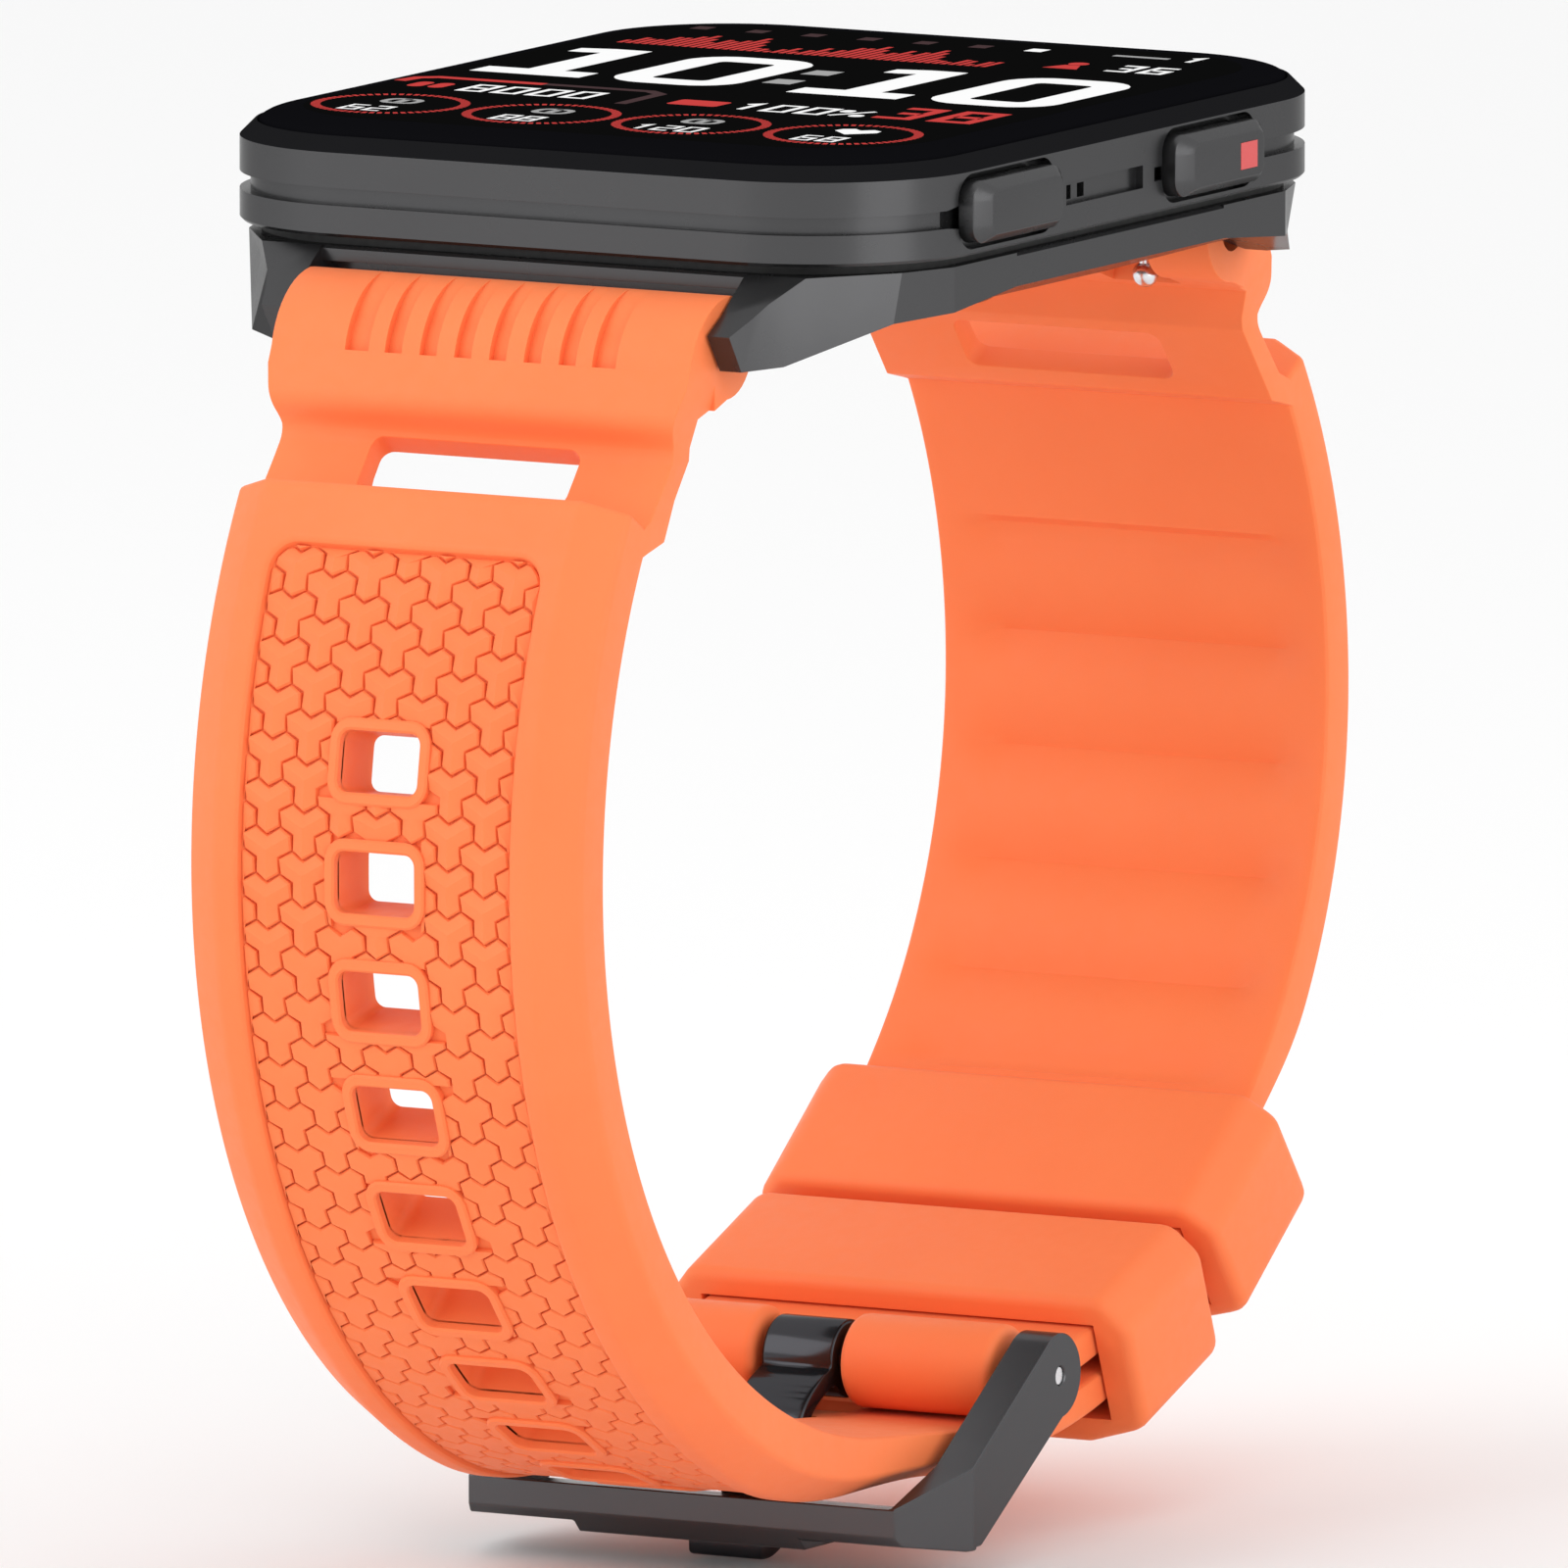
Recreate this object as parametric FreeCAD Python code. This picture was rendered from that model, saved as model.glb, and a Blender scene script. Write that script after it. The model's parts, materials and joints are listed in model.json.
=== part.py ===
import FreeCAD, Part
import math
import os

# Running watch, in millimetres. +Z out of the display, +X to the buttons, +Y to 12 o'clock.
# The origin is the centre of the flat sensor window that rests on the wrist.

# ---- driving dimensions ----
CASE_WIDTH = 37.4
CASE_LENGTH = 46.6
CASE_CORNER = 8.2
HOUSING_INSET = 0.4
NECK_INSET = 1.0
WINDOW_Z = 0.0
BACK_Z = 0.9
HOUSING_EDGE_Z = 2.9
HOUSING_TOP_Z = 4.45
FRAME_Z = 4.9
GROOVE_LOW_Z = 6.35
GROOVE_HIGH_Z = 7.17
GROOVE_DEPTH = 0.5
BEVEL_Z = 8.8
FRAME_TOP_Z = 9.5
BEVEL_INSET = 0.7
LEDGE_Z = 8.7
GLASS_EDGE_Z = 9.45
GLASS_TOP_Z = 10.0
WALL = 1.6
EDGE_BREAK = 0.15

LUG_GAP = 22.3
STRAP_END_WIDTH = 22.0
BAR_Y = 24.3
BAR_Z = 1.2
BAR_RADIUS = 0.9
BAR_BORE = 0.95
LOOSE_BAR_BORE = 1.06
TIP_RADIUS = 0.4
KNOB_X = 6.4

STRAP_WIDTH = 20.6
STRAP_FLAT = 16.6
STRAP_THICK = 3.45
STRAP_SIDE = 2.2
LAP_THICK = 2.3
LAP_SIDE = 1.8
NECK_Y = 28.5
NECK_Z = -5.1
NECK_THICK = 1.25
NECK_SLOPE = math.radians(51.6)
SPLIT_GAP = 0.25

LAP_CENTRE = (3.75, -16.95)
INNER_LAP_RADIUS = 33.1
OUTER_LAP_RADIUS = 35.5
PIN_Y = 4.0
PIN_RADIUS = 0.75
PIN_BORE = 0.8
PIN_TIP_RADIUS = 0.4
PIN_TIP_BORE = 0.43
PIN_END_PLAY = 0.1
ROLL_RADIUS = 2.2
HOLE_COUNT = 13
# spacing along the inner face; it comes to about 5.6 on the outer face
HOLE_PITCH = 5.05
TANG_HOLE = 11
TANG_HOLE_Y = -0.6
HOLE_HALF_X = 2.1
HOLE_HALF_ALONG = 1.3
HOLE_CORNER = 0.5
HOLE_WIDEST = (34.6, -22.6)
HOLE_UPPER_RADIUS = 30.9
HOLE_LOWER_RADIUS = 29.0
HOLE_TOP_Z = -6.7
HOLE_THINS = (52, 68)
TAIL_LEAN = -42.0
BUCKLE_UPPER_RADIUS = 27.5
BUCKLE_LOWER_RADIUS = 25.7
BUCKLE_JOIN_LEAN = 50.0
BUCKLE_TOP_Z = -6.84
BUCKLE_THINS = (30, 38)
SLOT_HALF_X = 5.5
SLOT_HALF_ALONG = 1.5
SLOT_CORNER = 0.6
END_ROLL_RADIUS = 2.4
KNOB_ROOM_X = (4.0, 7.6)
KNOB_ROOM_HALF_Y = 1.3
KNOB_MOUTH_Z = 0.0
TANG_GAP_HALF_X = 2.35
TANG_GAP_Y = (0.0, 7.6)

KEEPER_LENGTH = 8.0
KEEPER_HALF_X = 12.25
KEEPER_INNER_RADIUS = 31.4
KEEPER_OUTER_RADIUS = 39.2
KEEPER_CLEARANCE = 0.15
KEEPER_CHAMFER = 0.9
KEEPER_LOWER_LEAN = 21.1
KEEPER_UPPER_LEAN = 37.2

ARM_INNER_X = 11.0
ARM_OUTER_X = 13.0
ARM_EYE_RADIUS = 2.0
BAR_FRONT_Y = -8.94
TANG_HALF_X = 1.9
TANG_HALF_THICK = 0.45
TANG_EYE_RADIUS = 1.85

BUTTONS = {"lower": -11.65, "upper": 7.8}
BUTTON_Z = 6.95
BUTTON_HALF_Y = 4.25
BUTTON_HALF_Z = 1.45
BUTTON_CORNER = 0.9
BUTTON_FACE_X = 19.8
BUTTON_BACK_X = 18.45
BUTTON_BEVEL = 0.55
POCKET_MARGIN = 0.3
POCKET_FLOOR_X = 18.0
STEM_RADIUS = 0.9
STEM_END_X = 16.45
STEM_BORE = 0.96
FLARE = 1.1

DISPLAY_WIDTH = 31.2
DISPLAY_LENGTH = 40.4
DISPLAY_CORNER = 5.3
DISPLAY_LOW_Z = 7.8
DISPLAY_ROOM = 0.4
LEDGE_THICK = 0.8
WINDOW_WIDTH = 16.5
WINDOW_LENGTH = 19.5
WINDOW_CORNER = 6.85
WINDOW_THICK = 0.75
FIT = 0.1
SCREW_X = 9.5
SCREW_Y = 12.5
SCREW_SEAT_Z = 1.45
SCREW_HEAD_RADIUS = 1.2
SCREW_HEAD_HEIGHT = 0.45
CONTACT_Y = -13.2
CONTACT_PITCH = 4.0
BATTERY_SIZE = 22.0
BATTERY_CORNER = 1.5
BATTERY_LOW_Z = 2.4
BATTERY_TOP_Z = 5.4
BOARD_LOW_Z = 5.6
BOARD_TOP_Z = 6.3
MOTOR_PLACE = (-9.6, 15.6)
MOTOR_RADIUS = 4.0
MOTOR_ROOM_RADIUS = 4.3
SPEAKER_ROOM = (8.2, 15.8, -6.8, -0.6)
SPEAKER_BOX = (8.6, 15.4, -6.4, -1.0, BOARD_LOW_Z, 7.6)
MESH_BOX = (16.9, 17.08, -6.2, -2.9, 6.2, 7.3)
MICROPHONE_BOX = (13.2, 15.4, 1.8, 4.2, BOARD_TOP_Z, 7.3)
ANTENNA_BOX = (-4.5, 4.5, -16.5, -9.5, BOARD_TOP_Z, 7.6)

os.makedirs("parts", exist_ok=True)
V = FreeCAD.Vector


# ---- helpers ----
def save(name, shape):
    """Write one node."""
    shape.exportStep("parts/" + name + ".step")


def outline(width, length, radius, z):
    """Closed wire of a rectangle with arc corners, centred on the Z axis at height z."""
    x = width / 2 - radius
    y = length / 2 - radius
    diag = radius * math.sqrt(0.5)
    edges = []
    corners = [(x, y, 1, 1), (-x, y, -1, 1), (-x, -y, -1, -1), (x, -y, 1, -1)]
    for i, (cx, cy, sx, sy) in enumerate(corners):
        along_x = V(cx + sx * radius, cy, z)
        along_y = V(cx, cy + sy * radius, z)
        first, last = (along_x, along_y) if sx * sy > 0 else (along_y, along_x)
        middle = V(cx + sx * diag, cy + sy * diag, z)
        edges.append(Part.Arc(first, middle, last).toShape())
        nx, ny, tx, ty = corners[(i + 1) % 4]
        after = V(nx + tx * radius, ny, z) if tx * ty > 0 else V(nx, ny + ty * radius, z)
        edges.append(Part.LineSegment(last, after).toShape())
    return Part.Wire(edges)


def prism(width, length, radius, z0, z1):
    """Straight block with rounded corners."""
    return Part.Face(outline(width, length, radius, z0)).extrude(V(0, 0, z1 - z0))


def taper(z0, inset0, z1, inset1):
    """Slice of the case whose outline is drawn in by inset0 at z0 and by inset1 at z1."""
    wires = [case_outline(z0, inset0), case_outline(z1, inset1)]
    return Part.makeLoft(wires, True, True)


def case_outline(z, inset):
    """The case's outline at height z, drawn in evenly by inset."""
    radius = max(CASE_CORNER - inset, 1.0)
    return outline(CASE_WIDTH - 2 * inset, CASE_LENGTH - 2 * inset, radius, z)


def block(x0, x1, y0, y1, z0, z1):
    """Box between two corners."""
    return Part.makeBox(x1 - x0, y1 - y0, z1 - z0, V(x0, y0, z0))


def rod_x(radius, x0, x1, y, z):
    """Cylinder along X."""
    return Part.makeCylinder(radius, x1 - x0, V(x0, y, z), V(1, 0, 0))


def slab_yz(points, x0, x1, side=1):
    """Prism along X over a polygon of (y, z) points; side -1 mirrors it to 6 o'clock."""
    corners = [V(x0, side * y, z) for y, z in points]
    face = Part.Face(Part.makePolygon(corners + corners[:1]))
    return face.extrude(V(x1 - x0, 0, 0))


def slab_xy(points, z0, z1):
    """Prism along Z over a polygon of (x, y) points."""
    corners = [V(x, y, z0) for x, y in points]
    face = Part.Face(Part.makePolygon(corners + corners[:1]))
    return face.extrude(V(0, 0, z1 - z0))


def mirrored(shape, normal):
    """Copy of a shape mirrored in the plane through the origin with this normal."""
    return shape.mirror(V(0, 0, 0), normal)


def button_plate(half_y, half_z, radius, x0, x1, y, z):
    """Rounded plate that faces +X, as a button or its pocket."""
    plate = prism(2 * half_z, 2 * half_y, radius, 0, x1 - x0)
    plate.rotate(V(0, 0, 0), V(0, 1, 0), 90)
    plate.translate(V(x0, y, z))
    return plate


# ---- case shells ----
def middle_frame():
    """Metal frame: two bands with a groove between them, a bevelled rim and a ledge for the glass."""
    side = CASE_WIDTH / 2
    body = taper(FRAME_Z, EDGE_BREAK, FRAME_Z + EDGE_BREAK, 0)
    body = body.fuse(taper(FRAME_Z + EDGE_BREAK, 0, BEVEL_Z, 0))
    body = body.fuse(taper(BEVEL_Z, 0, FRAME_TOP_Z, BEVEL_INSET))
    groove = taper(GROOVE_LOW_Z, 0, GROOVE_HIGH_Z, 0)
    groove = groove.cut(taper(GROOVE_LOW_Z, GROOVE_DEPTH, GROOVE_HIGH_Z, GROOVE_DEPTH))
    plain_from = BUTTONS["lower"]
    plain_to = BUTTONS["upper"]
    plain = block(side - 2, side + 2, plain_from, plain_to, GROOVE_LOW_Z - 1, GROOVE_HIGH_Z + 1)
    groove = groove.cut(plain)
    body = body.cut(groove)
    cavity = prism(CASE_WIDTH - 2 * WALL, CASE_LENGTH - 2 * WALL, CASE_CORNER - WALL,
                   FRAME_Z, LEDGE_Z - LEDGE_THICK)
    opening = prism(DISPLAY_WIDTH + DISPLAY_ROOM, DISPLAY_LENGTH + DISPLAY_ROOM, DISPLAY_CORNER - FIT,
                    FRAME_Z, FRAME_TOP_Z)
    seat = taper(LEDGE_Z, BEVEL_INSET + 0.1, FRAME_TOP_Z, BEVEL_INSET + 0.1)
    body = body.cut(cavity).cut(opening).cut(seat)
    for y in BUTTONS.values():
        margin = POCKET_MARGIN
        pocket = button_plate(BUTTON_HALF_Y + margin, BUTTON_HALF_Z + margin, BUTTON_CORNER + margin,
                              POCKET_FLOOR_X, side + 1, y, BUTTON_Z)
        away = math.copysign(BUTTON_HALF_Y + FLARE, y)
        flare = slab_yz([(y, BUTTON_Z - 1.2), (y + away, GROOVE_LOW_Z), (y + away, GROOVE_HIGH_Z),
                         (y, BUTTON_Z + 1.2)], POCKET_FLOOR_X, side + 1)
        bore = rod_x(STEM_BORE, side - WALL - 1, side, y, BUTTON_Z)
        seal_seat = rod_x(1.5, side - WALL - 1, side - WALL + 0.45, y, BUTTON_Z)
        body = body.cut(pocket).cut(flare).cut(bore).cut(seal_seat)
    for y0, y1 in ((-5.5, -4.85), (-4.25, -3.6), (2.5, 3.4)):
        body = body.cut(block(side - WALL - 0.1, side + 1, y0, y1, 6.4, 7.05))
    body = body.cut(block(side - 0.4, side + 1, -6.0, 1.4, 6.22, 7.28))
    return body.removeSplitter()


def cover_glass():
    """Cover glass: a straight edge band, then a curved shoulder up to the flat top."""
    inset = BEVEL_INSET + 0.2
    edge = taper(LEDGE_Z, inset, GLASS_EDGE_Z, inset)
    steps = []
    rise = GLASS_TOP_Z - GLASS_EDGE_Z
    for i in range(5):
        turn = math.radians(90 * i / 4)
        grow_x = 1.3 * (1 - math.cos(turn))
        grow_y = 2.4 * (1 - math.cos(turn))
        width = CASE_WIDTH - 2 * (inset + grow_x)
        length = CASE_LENGTH - 2 * (inset + grow_y)
        corner = CASE_CORNER - inset - grow_x
        steps.append(outline(width, length, corner, GLASS_EDGE_Z + rise * math.sin(turn)))
    shoulder = Part.makeLoft(steps, True, True)
    return edge.fuse(shoulder).removeSplitter()


def lug():
    """One strap lug, at 12 o'clock on the button side."""
    profile = slab_yz([(10, HOUSING_EDGE_Z), (19, 2.06), (25.3, 0.25), (26.5, 2.0), (25.2, 2.75),
                       (22.9, HOUSING_TOP_Z), (10, HOUSING_TOP_Z)], LUG_GAP / 2, CASE_WIDTH / 2)
    outer_x = CASE_WIDTH / 2 - HOUSING_INSET
    plan = slab_xy([(LUG_GAP / 2, 10), (outer_x, 10), (outer_x, 16), (17.6, 19.0), (15.6, 22.0),
                    (14.0, 24.4), (12.85, 27), (LUG_GAP / 2, 27)], 0, HOUSING_TOP_Z)
    return profile.common(plan)


def rear_housing():
    """Back shell with four lugs, a raised sensor plateau and concave walls beside the strap rolls."""
    inset = HOUSING_INSET
    shell = taper(HOUSING_EDGE_Z, inset, HOUSING_TOP_Z - EDGE_BREAK, inset)
    shell = shell.fuse(taper(HOUSING_TOP_Z - EDGE_BREAK, inset, HOUSING_TOP_Z, inset + EDGE_BREAK))
    back = [outline(23.4, 29.2, 4.0, BACK_Z), case_outline(HOUSING_EDGE_Z, inset)]
    shell = shell.fuse(Part.makeLoft(back, True, True))
    plateau = [outline(18.0, 21.0, 7.6, WINDOW_Z + 0.05), outline(21.0, 24.0, 8.6, BACK_Z + 0.05)]
    shell = shell.fuse(Part.makeLoft(plateau, True, True))
    for sx in (1, -1):
        for sy in (1, -1):
            one = lug()
            one = one if sx > 0 else mirrored(one, V(1, 0, 0))
            one = one if sy > 0 else mirrored(one, V(0, 1, 0))
            shell = shell.fuse(one)
    shell = shell.cut(prism(30.0, 38.0, 5.0, 2.3, HOUSING_TOP_Z + 1))
    shell = shell.cut(prism(WINDOW_WIDTH + FIT, WINDOW_LENGTH + FIT, WINDOW_CORNER + FIT / 2,
                            -1, WINDOW_THICK))
    shell = shell.cut(prism(14.0, 17.0, 5.6, 0, 3))
    for side in (1, -1):
        shell = shell.cut(rod_x(2.9, -LUG_GAP / 2, LUG_GAP / 2, side * BAR_Y, BAR_Z))
        mouth = slab_yz([(BAR_Y - 2.9, BAR_Z), (BAR_Y - 2.9, -3), (31, -3), (31, 9), (BAR_Y, 9),
                         (BAR_Y, BAR_Z + 2.9)], -LUG_GAP / 2, LUG_GAP / 2, side)
        shell = shell.cut(mouth)
        shell = shell.cut(rod_x(TIP_RADIUS + 0.05, -12.3, 12.3, side * BAR_Y, BAR_Z))
    for x, y in screw_places():
        shell = shell.cut(Part.makeCylinder(1.25, SCREW_SEAT_Z, V(x, y, 0)))
        shell = shell.cut(Part.makeCylinder(0.6, 6, V(x, y, 0)))
    for x in (-CONTACT_PITCH / 2, CONTACT_PITCH / 2):
        shell = shell.cut(Part.makeCylinder(0.8, 3, V(x, CONTACT_Y, 0)))
    return shell.removeSplitter()


def screw_places():
    """The four corners where screws hold the back shell."""
    return [(sx * SCREW_X, sy * SCREW_Y) for sx in (1, -1) for sy in (1, -1)]


def housing_screws():
    """Four pan-head screws from the back shell up into the carrier's bosses."""
    group = []
    for x, y in screw_places():
        head = Part.makeCylinder(SCREW_HEAD_RADIUS, SCREW_HEAD_HEIGHT,
                                 V(x, y, SCREW_SEAT_Z - SCREW_HEAD_HEIGHT))
        shank = Part.makeCylinder(0.55, 3.4, V(x, y, SCREW_SEAT_Z))
        cross = block(x - 0.7, x + 0.7, y - 0.14, y + 0.14, 0, 1.2)
        cross = cross.fuse(block(x - 0.14, x + 0.14, y - 0.7, y + 0.7, 0, 1.2))
        group.append(head.fuse(shank).cut(cross))
    return Part.makeCompound(group)


def inner_carrier():
    """Moulded carrier inside the frame: holds the battery and has a boss for each screw."""
    room = BATTERY_SIZE + 4 * FIT
    plate = prism(33.8, 43.0, 6.2, 4.95, 5.55).cut(prism(room, room, BATTERY_CORNER + FIT, 4.9, 5.6))
    for x, y in screw_places():
        plate = plate.fuse(Part.makeCylinder(1.3, 2.6, V(x, y, 2.35)))
    plate = plate.cut(block(*SPEAKER_ROOM, 4.9, 5.6))
    plate = plate.cut(Part.makeCylinder(MOTOR_ROOM_RADIUS, 3, V(*MOTOR_PLACE, 4)))
    for x, y in screw_places():
        plate = plate.cut(Part.makeCylinder(0.56, 4, V(x, y, 2)))
    return plate


def ring_gasket(z0, z1, inset, width):
    """Flat seal that follows the case outline."""
    outer = taper(z0, inset, z1, inset)
    return outer.cut(taper(z0 - 0.1, inset + width, z1 + 0.1, inset + width))


# ---- inner pieces ----
def charging_contacts():
    """Two plated pins for the charger."""
    pins = []
    for x in (-CONTACT_PITCH / 2, CONTACT_PITCH / 2):
        pins.append(Part.makeCylinder(0.75, 1.9, V(x, CONTACT_Y, BACK_Z)))
    return Part.makeCompound(pins)


def optical_sensor_board():
    """Small round-cornered board with its light barrier, behind the window."""
    board = prism(13.4, 16.4, 5.3, 1.35, 1.85)
    barrier = prism(9.0, 11.0, 3.6, 0.8, 1.35).cut(prism(3.4, 3.4, 0.6, 0.7, 1.35))
    return board.fuse(barrier)


def main_board():
    """Main circuit board with openings for the speaker and the motor."""
    board = prism(31.4, 37.0, 4.2, BOARD_LOW_Z, BOARD_TOP_Z)
    board = board.cut(block(*SPEAKER_ROOM, 5, 7))
    return board.cut(Part.makeCylinder(MOTOR_ROOM_RADIUS, 3, V(*MOTOR_PLACE, 5)))


def coin_motor():
    """Vibration motor: a can with its shaft boss on top."""
    x, y = MOTOR_PLACE
    can = Part.makeCylinder(MOTOR_RADIUS, 2.2, V(x, y, 5.0))
    return can.fuse(Part.makeCylinder(0.8, 0.3, V(x, y, 7.2)))


def display_cable():
    """Flat cable from the display down to the board."""
    upper_face = BOARD_TOP_Z + 0.12
    strip = [(15.0, BOARD_TOP_Z), (15.0, upper_face), (19.0, upper_face), (19.0, DISPLAY_LOW_Z),
             (19.15, DISPLAY_LOW_Z), (19.15, BOARD_TOP_Z)]
    return slab_yz(strip, -4.0, 4.0)


# ---- buttons ----
def button(y):
    """Cap with bevelled edges and its stem."""
    cap = button_plate(BUTTON_HALF_Y, BUTTON_HALF_Z, BUTTON_CORNER, BUTTON_BACK_X,
                       BUTTON_FACE_X - BUTTON_BEVEL, y, BUTTON_Z)
    wires = []
    for drop, z in ((0, 0), (BUTTON_BEVEL, BUTTON_BEVEL)):
        wires.append(outline(2 * (BUTTON_HALF_Z - drop * 0.75), 2 * (BUTTON_HALF_Y - drop * 1.6),
                             BUTTON_CORNER - drop * 0.7, z))
    top = Part.makeLoft(wires, True, True)
    top.rotate(V(0, 0, 0), V(0, 1, 0), 90)
    top.translate(V(BUTTON_FACE_X - BUTTON_BEVEL, y, BUTTON_Z))
    stem = rod_x(STEM_RADIUS, STEM_END_X, BUTTON_BACK_X, y, BUTTON_Z)
    groove = rod_x(1.2, 16.6, 16.9, y, BUTTON_Z).cut(rod_x(0.6, 16.6, 16.9, y, BUTTON_Z))
    return cap.fuse(top).fuse(stem).cut(groove).removeSplitter()


def accent_plate():
    """Red inlay at the rear end of the upper button's face."""
    return block(BUTTON_FACE_X - 0.15, BUTTON_FACE_X, 8.9, 10.5, 6.3, 7.55)


def retaining_clip(y):
    """Clip in the stem's groove, inside the wall."""
    clip = rod_x(1.4, 16.62, 16.88, y, BUTTON_Z).cut(rod_x(0.62, 16.6, 16.9, y, BUTTON_Z))
    return clip.cut(block(16.6, 16.9, y - 0.45, y + 0.45, BUTTON_Z, BUTTON_Z + 2))


def stem_seal(y):
    """O-ring round the stem, in a seat on the wall's inner side."""
    return Part.makeTorus(1.2, 0.22, V(17.33, y, BUTTON_Z), V(1, 0, 0))


def side_switch(y):
    """Push switch on its upright, behind the stem."""
    body = block(14.2, 15.6, y - 1.5, y + 1.5, BOARD_TOP_Z, 7.6)
    return body.fuse(rod_x(0.6, 15.6, 16.0, y, BUTTON_Z))


# ---- spring bars ----
def bar_tube(side):
    """Hollow tube of a spring bar with a slot for the release knob."""
    y = side * BAR_Y
    tube = rod_x(BAR_RADIUS, -10.2, 10.2, y, BAR_Z).cut(rod_x(0.58, -11, 11, y, BAR_Z))
    return tube.cut(block(KNOB_X - 1.7, KNOB_X + 0.55, y - 0.38, y + 0.38, BAR_Z - 2, BAR_Z))


def bar_fixed_tip(side):
    """Plunger at the 9 o'clock end of a spring bar."""
    y = side * BAR_Y
    return rod_x(TIP_RADIUS, -12.1, -9.8, y, BAR_Z).fuse(rod_x(0.54, -9.9, -7.5, y, BAR_Z))


def bar_release(side):
    """Plunger at the button end, with its thumb knob."""
    y = side * BAR_Y
    rod = rod_x(TIP_RADIUS, 9.8, 12.1, y, BAR_Z).fuse(rod_x(0.54, 5.4, 9.0, y, BAR_Z))
    rod = rod.fuse(rod_x(TIP_RADIUS, 8.9, 9.9, y, BAR_Z))
    stalk = Part.makeCylinder(0.34, 2.0, V(KNOB_X, y, BAR_Z - 2.0))
    ball = Part.makeSphere(0.62, V(KNOB_X, y, BAR_Z - 2.3))
    return rod.fuse(stalk).fuse(ball)


def bar_spring(side):
    """Compression spring between the two plungers, as a helix of round wire."""
    helix = Part.makeHelix(0.72, 12.2, 0.42)
    wire = Part.Wire(helix.Edges)
    profile = Part.Wire(Part.makeCircle(0.11, V(0.42, 0, 0), V(0, 1, 0)))
    coil = wire.makePipeShell([profile], True, True)
    coil.rotate(V(0, 0, 0), V(0, 1, 0), 90)
    coil.translate(V(-7.2, side * BAR_Y, BAR_Z))
    return coil


# ---- strap ----
class BandPath:
    """Inner face of one strap half, seen along X: arcs about given centres, joined by straight runs.

    An angle is the lean of the outward direction from straight down, so 90 is the widest point
    and 0 is the lowest. side is +1 for the 12 o'clock half and -1 for the 6 o'clock half.
    """

    def __init__(self, side, arcs):
        self.side = side
        self.runs = []
        for centre, radius, first, last in arcs:
            if self.runs:
                before = self.point_on(self.runs[-1], self.runs[-1][4])
                start = self.point_on(("arc", centre, radius, first, 0), 0)
                gap = math.dist(before, start)
                if gap > 0.01:
                    self.runs.append(("line", before, start, first, gap))
            self.runs.append(("arc", centre, radius, first, radius * math.radians(first - last)))
        self.length = sum(run[4] for run in self.runs)

    def point_on(self, run, along):
        """Point at a distance along one run."""
        kind, a, b, lean, length = run
        if kind == "line":
            part = along / length
            return (a[0] + (b[0] - a[0]) * part, a[1] + (b[1] - a[1]) * part)
        angle = math.radians(lean) - along / b
        return (a[0] + self.side * b * math.sin(angle), a[1] - b * math.cos(angle))

    def at(self, distance):
        """Point and outward direction at a distance from the top."""
        for run in self.runs:
            if distance <= run[4] or run is self.runs[-1]:
                point = self.point_on(run, distance)
                angle = math.radians(run[3])
                if run[0] == "arc":
                    angle -= distance / run[2]
                return point, (self.side * math.sin(angle), -math.cos(angle))
            distance -= run[4]

    def offset(self, distance, height):
        """(y, z) of the point that stands height outside the inner face."""
        point, out = self.at(distance)
        return (point[0] + out[0] * height, point[1] + out[1] * height)

    def distance_where(self, test):
        """First distance at which test(point) is true."""
        step = 0.02
        for i in range(int(self.length / step)):
            if test(self.at(i * step)[0]):
                return i * step
        return self.length


def common_lean(centre, radius, lap_radius, side):
    """Lean of the straight line that touches two circles from outside, in degrees."""
    dy = side * (centre[0] - LAP_CENTRE[0])
    dz = centre[1] - LAP_CENTRE[1]
    reach = math.hypot(dy, dz)
    return math.degrees(math.asin((lap_radius - radius) / reach) - math.atan2(-dz, dy))


def hole_strap_path():
    """Inner face of the 6 o'clock strap, from its neck round to the tail's tip."""
    widest_y, widest_z = HOLE_WIDEST
    upper = (-widest_y + HOLE_UPPER_RADIUS, widest_z)
    lower = (-widest_y + HOLE_LOWER_RADIUS, widest_z)
    top = 90 + math.degrees(math.asin((HOLE_TOP_Z - widest_z) / HOLE_UPPER_RADIUS))
    lean = common_lean(lower, HOLE_LOWER_RADIUS, OUTER_LAP_RADIUS, -1)
    return BandPath(-1, [(upper, HOLE_UPPER_RADIUS, top, 90),
                         (lower, HOLE_LOWER_RADIUS, 90, lean),
                         (LAP_CENTRE, OUTER_LAP_RADIUS, lean, TAIL_LEAN)])


def buckle_strap_path():
    """Inner face of the 12 o'clock strap, from its neck round to the buckle pin."""
    lean = math.radians(BUCKLE_JOIN_LEAN)
    back = INNER_LAP_RADIUS - BUCKLE_LOWER_RADIUS
    lower = (LAP_CENTRE[0] + back * math.sin(lean), LAP_CENTRE[1] - back * math.cos(lean))
    upper = (lower[0] + BUCKLE_LOWER_RADIUS - BUCKLE_UPPER_RADIUS, lower[1])
    top = 90 + math.degrees(math.asin((BUCKLE_TOP_Z - upper[1]) / BUCKLE_UPPER_RADIUS))
    pin_lean = math.degrees(math.asin((PIN_Y - LAP_CENTRE[0]) / INNER_LAP_RADIUS))
    return BandPath(1, [(upper, BUCKLE_UPPER_RADIUS, top, 90),
                        (lower, BUCKLE_LOWER_RADIUS, 90, BUCKLE_JOIN_LEAN),
                        (LAP_CENTRE, INNER_LAP_RADIUS, BUCKLE_JOIN_LEAN, pin_lean)])


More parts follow.
